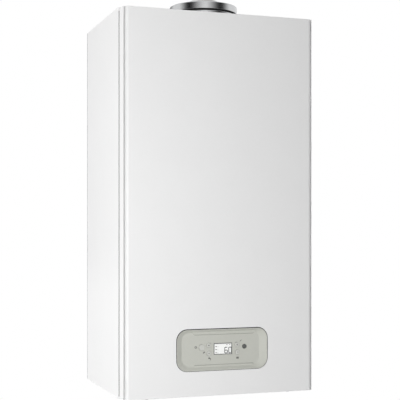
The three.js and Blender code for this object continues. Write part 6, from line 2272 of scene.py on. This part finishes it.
    def pump_group(self) -> None:
        """Pump housing, wheel and motor, and the air vent on top."""
        at = self.pump
        low, high = self.pump_y
        x, z = at
        lugs = [Body.rod(Y, 7, (low, low + 12), spot) for spot in circle(at, 47, 4, 45)]
        scroll = Body.rod(Y, self.pump_radius, self.pump_y, at, 5, 96)
        housing = scroll.union(
            Body.block((105, 155), (-109, -65), (110.3, 168), 4),
            Body.rod(Z, 12, (168, 225), self.pump_outlet, 0.5),
            Body.rod(Z, 14, (212, 220), self.pump_outlet, 0.8),
            Body.rod(Z, 12, (168, 223), self.vent, 0.5),
            *lugs,
        ).cut(Body.rod(Y, 44, (-FAR, high - 8), at, sides=96))
        add("pump_scroll", housing, COMPOSITE, stands_for=["pump_housing"], edge=0.8)
        line = [(0, -106), (38, -104), (38, -102.4), (14, -101), (12, -86), (9, -82.2), (0, -82.2)]
        ring = [(16, -92.4), (38, -94.4), (38, -93), (16, -90.8)]
        wheel = Body.turned(Y, line, at, 56).with_parts(Body.turned(Y, ring, at, 56))
        for k in range(6):
            points = []
            for offset in (-0.8, 0.8):
                row = []
                for s in range(6):
                    r = 11 + 26.6 * s / 5
                    turn = math.radians(60 * k + 48 * (s / 5)) + offset / r
                    row.append((x + r * math.cos(turn), z + r * math.sin(turn)))
                points += row if offset < 0 else row[::-1]
            wheel = wheel.with_parts(Body.prism(Y, points, (-102.6, -93.2)))
        add("pump_wheel", wheel, COMPOSITE, "pump_impeller", ["pump_impeller"])
        self.pump_motor(low - 0.3)
        vent = [
            (0, 223.3), (10, 223.3), (11, 224.3), (15, 228.3), (15, 236), (14.2, 236.8), (14.2, 238.2),
            (15, 239), (15, 258), (12, 261.6), (6, 263.3), (6, 265), (5.2, 265.6), (5.2, 266.6),
            (6, 267.2), (6, 272.6), (5.4, 273.2), (0, 273.2),
        ]
        add("air_vent_body", Body.turned(Z, vent, self.vent, 48), BRASS, stands_for=["air_vent"])

    def pump_motor(self, face: float) -> None:
        """The pump's motor: flange, finned case, centre plug, terminal box and screws.

        Args:
            face: Where the flange meets the housing.
        """
        at = self.pump
        line = [(0, face), (50, face), (50, face - 8), (46, face - 10), (44, face - 12)]
        end = face - 88
        line += [(44, end + 7), (42.6, end + 2.6), (38, end + 0.2), (16, end + 0.2), (15, end + 1.6)]
        line.append((0, end + 1.6))
        case = Body.turned(Y, line, at, 80)
        slots = Body.block((41.6, 50), (end + 9, face - 14), (-1.6, 1.6)).ringed(Y, at, 30)
        add("pump_motor_case", case.cut(Body.group(slots)), CAST, stands_for=["pump_motor"], edge=0.5)
        plug = [(0, end + 1.8), (11, end + 1.8), (11, end + 0.4), (9.6, end - 0.4), (0, end - 0.4)]
        slot = Body.block(about(at[0], 14), (-FAR, end + 0.6), about(at[1], 1.8))
        add("pump_motor_plug", Body.turned(Y, plug, at, 40).cut(slot), BRASS)
        add("pump_motor_screws", screws(Y, face - 8, -1, circle(at, 47, 4, 45), 2.9, 3), ZINC)
        box = Body.block((92, 168), (-176, -134), (206, 222), 4)
        cap = Body.block((90.6, 169.4), (-177.4, -132.6), (222, 225), 4.5)
        add("pump_terminal_box", box.union(cap), BLACK, edge=0.8)

    def pipes(self) -> None:
        """Flow and return pipes with their clips and nuts."""
        y, z = HEATER_PIPES
        back = [(*self.pump_outlet, 225.3), (*self.pump_outlet, 262)]
        back += [(self.return_x, y, 262), (self.return_x, y, z), (52, y, z)]
        flow = [(-150, y, z), (self.flow_x, y, z), (self.flow_x, y, 200)]
        flow += [(*self.flow_foot, 160), (*self.flow_foot, 110.3)]
        add("return_pipe_bend", Body.pipe(back, 15, 9, 8, 32), COPPER, stands_for=["return_pipe"])
        add("flow_pipe_bend", Body.pipe(flow, 15, 9, 8, 32), COPPER, stands_for=["flow_pipe"])
        nuts = [
            nut(Z, 25, (226, 240), self.pump_outlet, 8.9), nut(X, 25, (55, 66), (y, z), 8.9),
            nut(Z, 20, (111, 124), self.flow_foot, 8.9),
        ]
        add("water_pipe_nuts", Body.group(nuts), BRASS)
        sensors = []
        for x, low in ((self.return_x, 400), (self.flow_x, 330)):
            clip = Body.block(about(x, 24), about(y, 22), (low, low + 9), 3)
            tip = Body.rod(Y, 4, (y - 22, y - 10), (x, low + 4.5), 0.6)
            sensors.append(clip.cut(Body.rod(Z, 8.9, EVERYWHERE, (x, y))).union(tip))
        add("pipe_sensors", Body.group(sensors), BLACK, edge=0.5)

    def condensate_trap(self) -> None:
        """The condensate trap: ribbed cup, screwed cap, neck and outlet."""
        line = [(0, -12), (9, -12)]
        for level in (-8, -3, 2):
            line += [(9, level), (9.9, level + 1), (9, level + 3)]
        line += [(9, 246), (12, 249), (24, 258), (26, 262), (26, 284), (25, 285), (25, 287)]
        for level in (300, 320, 340, 360):
            line += [(25, level), (26, level + 1), (26, level + 3), (25, level + 4)]
        line += [(25, 384), (26, 385), (26, 390), (11.6, 403), (10, 406), (10, 424.7), (0, 424.7)]
        grips = Body.block((24, 27.2), (-1.2, 1.2), (263, 283)).ringed(Z, self.trap, 18)
        body = Body.turned(Z, line, self.trap, 72).union(Body.group(grips))
        add("condensate_cup", body, COMPOSITE, stands_for=["condensate_trap"], edge=0.3)
        clamp = Body.turned(Z, [(9.9, 410), (11.4, 410), (11.4, 418), (9.9, 418)], self.trap, 48)
        ears = Body.block(about(self.trap[0], 8), about(self.trap[1] - 15, 8), (411, 417), 1)
        add("condensate_clamp", clamp.with_parts(ears), ZINC, edge=0.3)


# ------------ connections


@dataclass
class Connections:
    """Threaded pipe tails, the mains gland, and the wiring along both sides."""

    tails: tuple[tuple[str, float, float], ...] = (
        ("heating_flow_tail", -HEATING_X, 13.2), ("hot_water_tail", -WATER_X, 10.5),
        ("gas_tail", 0.0, 13.2), ("cold_water_tail", WATER_X, 10.5),
        ("heating_return_tail", HEATING_X, 13.2),
    )
    below: float = -28.0
    gland: Pair = GLAND

    def build(self) -> None:
        """Builds and dresses the connections."""
        for name, x, radius in self.tails:
            add(f"{name}_thread", self.tail(x, radius), BRASS, stands_for=[name], sharp=50)
        self.mains_gland()
        for side in (-1, 1):
            self.wiring(side)

    def tail(self, x: float, radius: float) -> Body:
        """One pipe tail: thread below the plate, hexagon nut above it, and its bore.

        Args:
            x: Its place across the boiler.
            radius: Its radius over the thread.

        Returns:
            The closed body.
        """
        at = (x, PIPE_Y)
        bore = radius - 3
        low = self.below
        thread = [(bore, low), (radius - 1, low), (radius - 0.6, low + 1)]
        pitch = 1.8
        for k in range(20):
            start = low + 1.6 + pitch * k
            thread += [(radius - 1, start), (radius, start + 0.7), (radius, start + 1.1)]
        thread += [(radius - 0.8, 11.4), (radius - 0.8, 21.7), (bore, 21.7)]
        body = Body.turned(Z, thread, at, 56)
        return body.union(nut(Z, 2 * (radius + 4) * 0.93, (13.3, 21.7), at, radius - 1.4))

    def mains_gland(self) -> None:
        """Gland of the mains lead: nut below the plate, thread above it, lock nut."""
        line = [(5, 0.5), (5.8, -1.6), (7.6, -2), (9, -1.8), (11, 3), (11, 4.6), (9.8, 5.2), (9.8, 6.4)]
        line += [(11, 7), (11, 11.7), (8, 11.7), (8, 20), (5, 20)]
        body = Body.turned(Z, line, self.gland, 56)
        grips = Body.block((9.4, 11), (-1, 1), (-0.6, 3.4)).ringed(Z, self.gland, 12)
        lock = nut(Z, 19.5, (13.3, 17.6), self.gland, 7.9)
        add("mains_gland_body", body.with_parts(*grips, lock), BLACK, stands_for=["cable_gland"], edge=0.2)

    def wiring(self, side: float) -> None:
        """The wiring on one side: sleeve along the side panel, its clips, its plug and its branches.

        Args:
            side: 1 for the right side, -1 for the left one.
        """
        name = "left" if side < 0 else "right"
        x, y = side * 187, -222
        top = 440 if side < 0 else 560
        add(f"wiring_sleeve_{name}", ribbed(Z, 5, (44, top), (x, y), 3, 0.9, 3.2), CABLE)
        clips = []
        for level in (80, 180, 280, top - 30):
            ring = [(5, level), (6.4, level), (6.4, level + 8), (5, level + 8)]
            foot = Body.block(mirrored(side, 193, 199), about(y, 5), (level + 1, level + 7))
            clips += [Body.turned(Z, ring, (x, y), 36), foot]
        add(f"wiring_clips_{name}", Body.group(clips), BUTTON, edge=0.3)
        plug = Body.block(mirrored(side, 196, 179), about(y, 26), (13.2, 44), 2)
        ribs = [
            Body.block(mirrored(side, 178.2, 180), about(y - 9 + 6 * k, 2), (18, 36))
            for k in range(4)
        ]
        add(f"wiring_plug_{name}", plug.union(*ribs), BLACK, edge=0.6)
        if side < 0:
            branches = [
                [(x, y, 200), (x + 8, y, 200), (x + 14, -150, 170), (-160, -122, 141), (-142, -122, 141)],
                [(x, y, 436), (x, y, 458), (x + 20, -160, 458), (x + 20, -150, 345), (-168, -146, 335)],
                [(x, y, 270), (x + 10, y, 270), (-150, -181, 282), (-121, -181, 282), (-121, -181, 300)],
            ]
        else:
            branches = [
                [(x, y, top - 4), (x, y, 590), (175, -284, 594), (175, -284, 612)],
                [(x, y, 420), (x, y - 6, 450), (158, -200, 450), (146, -197, 424)],
                [(x, y, 260), (x - 6, y, 238), (160, -170, 236), (150, -160, 224)],
            ]
        wires = Body.group([Body.pipe(line, 7, 2.4, 0, 14) for line in branches])
        add(f"wiring_branches_{name}", wires, CABLE)


# ------------ studio


@dataclass
class Studio:
    """Camera, lamps, white surroundings, floor and three dark cards that bright metal mirrors."""

    lens: float = 89.87
    shift: float = 0.0746
    camera_at: Triple = (-0.6909, -2.1864, -0.3932)
    yaw: float = -0.3333
    fill_below: float = 0.52
    fill_above: float = 0.4
    floor_level: float = -1.9
    floor_radius: float = 1.6
    floor_thick: float = 0.02
    card_distance: float = 1.3
    card_size: Pair = (1.09, 0.6)  # half its width and half its height
    card_end: float = 0.8  # brightness of a card's two ends
    card_middle: float = 0.02
    card_fades: tuple[Span, Span] = ((-1.05, 0.05), (0.15, 1.05))  # from one end inwards, and out to the other

    def build(self) -> None:
        """Builds the studio."""
        scene = bpy.context.scene
        scene.view_settings.view_transform = "Standard"
        self.camera(scene)
        self.surroundings(scene)
        self.lamp("front_lamp", (-0.62, -1.18, -0.45), (-0.12, -0.3, -0.42), (0.5, 1.3), 7.2)
        self.lamp("side_lamp", (-1.7, 0.14, -0.28), (-0.2, -0.15, -0.3), (0.8, 1.3), 11.0)
        self.lamp("top_lamp", (0.2, 0.2, 1.5), (0.0, -0.15, 0.0), (1.2, 1.2), 2.5)
        self.floor()
        for side, angle in (("left", 44.0), ("right", -55.0), ("back", 164.0)):
            self.dark_card(side, angle)

    def camera(self, scene: bpy.types.Scene) -> None:
        """The camera at the photograph's place.

        Args:
            scene: The scene that it is for.
        """
        data = bpy.data.cameras.new("camera")
        data.lens = self.lens
        data.sensor_width = 36.0
        data.shift_y = self.shift
        data.clip_start, data.clip_end = 0.05, 60.0
        camera = bpy.data.objects.new("camera", data)
        camera.location = self.camera_at
        camera.rotation_euler = (math.pi / 2, 0.0, self.yaw)
        scene.collection.objects.link(camera)
        scene.camera = camera

    def surroundings(self, scene: bpy.types.Scene) -> None:
        """White surroundings for the camera and for mirrors, and a softer fill light on everything.

        Args:
            scene: The scene that they are for.
        """
        world = bpy.data.worlds.new("surroundings")
        world.use_nodes = True
        scene.world = world
        tree = world.node_tree
        output = tree.nodes["World Output"]
        fill = tree.nodes["Background"]
        fill.inputs["Color"].default_value = (1.0, 1.0, 1.0, 1.0)
        bearing = tree.nodes.new("ShaderNodeSeparateXYZ")
        tree.links.new(tree.nodes.new("ShaderNodeTexCoord").outputs["Generated"], bearing.inputs[0])
        height = range_node(tree, bearing.outputs["Z"], (-0.8, 0.8), self.fill_below, self.fill_above)
        tree.links.new(height, fill.inputs["Strength"])
        seen = tree.nodes.new("ShaderNodeBackground")
        seen.inputs["Color"].default_value = (1.0, 1.0, 1.0, 1.0)
        seen.inputs["Strength"].default_value = 1.0
        path = tree.nodes.new("ShaderNodeLightPath")
        rays = math_node(tree, "MAXIMUM", path.outputs["Is Camera Ray"], path.outputs["Is Glossy Ray"])
        rays = math_node(tree, "MAXIMUM", rays, path.outputs["Is Transmission Ray"])
        mix = tree.nodes.new("ShaderNodeMixShader")
        tree.links.new(rays, mix.inputs[0])
        tree.links.new(fill.outputs[0], mix.inputs[1])
        tree.links.new(seen.outputs[0], mix.inputs[2])
        tree.links.new(mix.outputs[0], output.inputs["Surface"])

    def lamp(self, name: str, place: Triple, target: Triple, size: Pair, power: float) -> None:
        """A soft lamp that looks at a point.

        Args:
            name: Its name.
            place: Where it stands, in metres in the frame.
            target: What it looks at.
            size: Its width and height, in metres.
            power: Its power in watts.
        """
        data = bpy.data.lights.new(name, "AREA")
        data.shape = "RECTANGLE"
        data.size, data.size_y = size
        data.energy = power
        lamp = bpy.data.objects.new(name, data)
        lamp.location = place
        way = Vector(target) - Vector(place)
        lamp.rotation_euler = way.to_track_quat("-Z", "Y").to_euler()
        lamp.visible_glossy = False
        bpy.context.scene.collection.objects.link(lamp)

    def floor(self) -> None:
        """Round pale floor with a softly raised edge, far below the boiler."""
        out, thick = self.floor_radius, self.floor_thick
        line = [(0.0, 0.0), (out, 0.0), (out, thick), (0.0, thick)]
        body = Body.turned(Z, rounded(line, 0.008), (0.0, -0.2), 96)
        floor = body.moved(z=self.floor_level - thick).to_object("floor")
        floor.data.materials.append(PALE_FLOOR.material())

    def dark_card(self, side: str, angle: float) -> None:
        """An upright dark card, seen only in mirrors, paler towards both of its ends.

        Args:
            side: Its side, for its name.
            angle: Its bearing from the collar, in degrees from the way to the camera.
        """
        bearing = math.radians(angle) - self.yaw
        centre = Vector((FLUE[0] * MM, FLUE[1] * MM, 0.06))
        out = Vector((math.sin(-bearing), -math.cos(-bearing), 0.0))
        material = bpy.data.materials.new(f"dark_card_{side}")
        material.use_nodes = True
        tree = material.node_tree
        tree.nodes.remove(tree.nodes["Principled BSDF"])
        glow = tree.nodes.new("ShaderNodeEmission")
        coords = tree.nodes.new("ShaderNodeTexCoord").outputs["Object"]
        split = tree.nodes.new("ShaderNodeSeparateXYZ")
        tree.links.new(coords, split.inputs[0])
        fade_in, fade_out = self.card_fades
        near = range_node(tree, split.outputs["X"], fade_in, self.card_end, self.card_middle)
        far = range_node(tree, split.outputs["X"], fade_out, self.card_middle, self.card_end)
        shade = math_node(tree, "MAXIMUM", near, far)
        color = tree.nodes.new("ShaderNodeCombineColor")
        for socket in color.inputs[:3]:
            tree.links.new(shade, socket)
        tree.links.new(color.outputs[0], glow.inputs["Color"])
        tree.links.new(glow.outputs[0], tree.nodes["Material Output"].inputs["Surface"])
        half, tall = self.card_size
        card = Body.block((-half, half), (-0.004, 0.004), (-tall, tall), 0.003).to_object(f"dark_card_{side}")
        card.data.materials.append(material)
        card.location = centre + out * self.card_distance
        card.rotation_euler = (0.0, 0.0, math.atan2(out.y, out.x) + math.pi / 2)
        if angle > 0.0:
            card.scale.x = -1.0
        for ray in ("camera", "diffuse", "transmission", "volume_scatter", "shadow"):
            setattr(card, f"visible_{ray}", False)


# ------------ main


def main() -> None:
    """Builds the studio and the boiler's sub-assemblies in order."""
    logging.basicConfig(level=logging.INFO, format="%(message)s")
    Studio().build()
    parts = (
        Casing(), FrontCover(), ControlBox(), ControlPanel(), FlueOutlet(), HeatCell(), FanTrain(),
        WaterSide(), Connections(),
    )
    for part in parts:
        log.info("building %s", type(part).__name__)
        part.build()


if __name__ == "__main__":
    main()
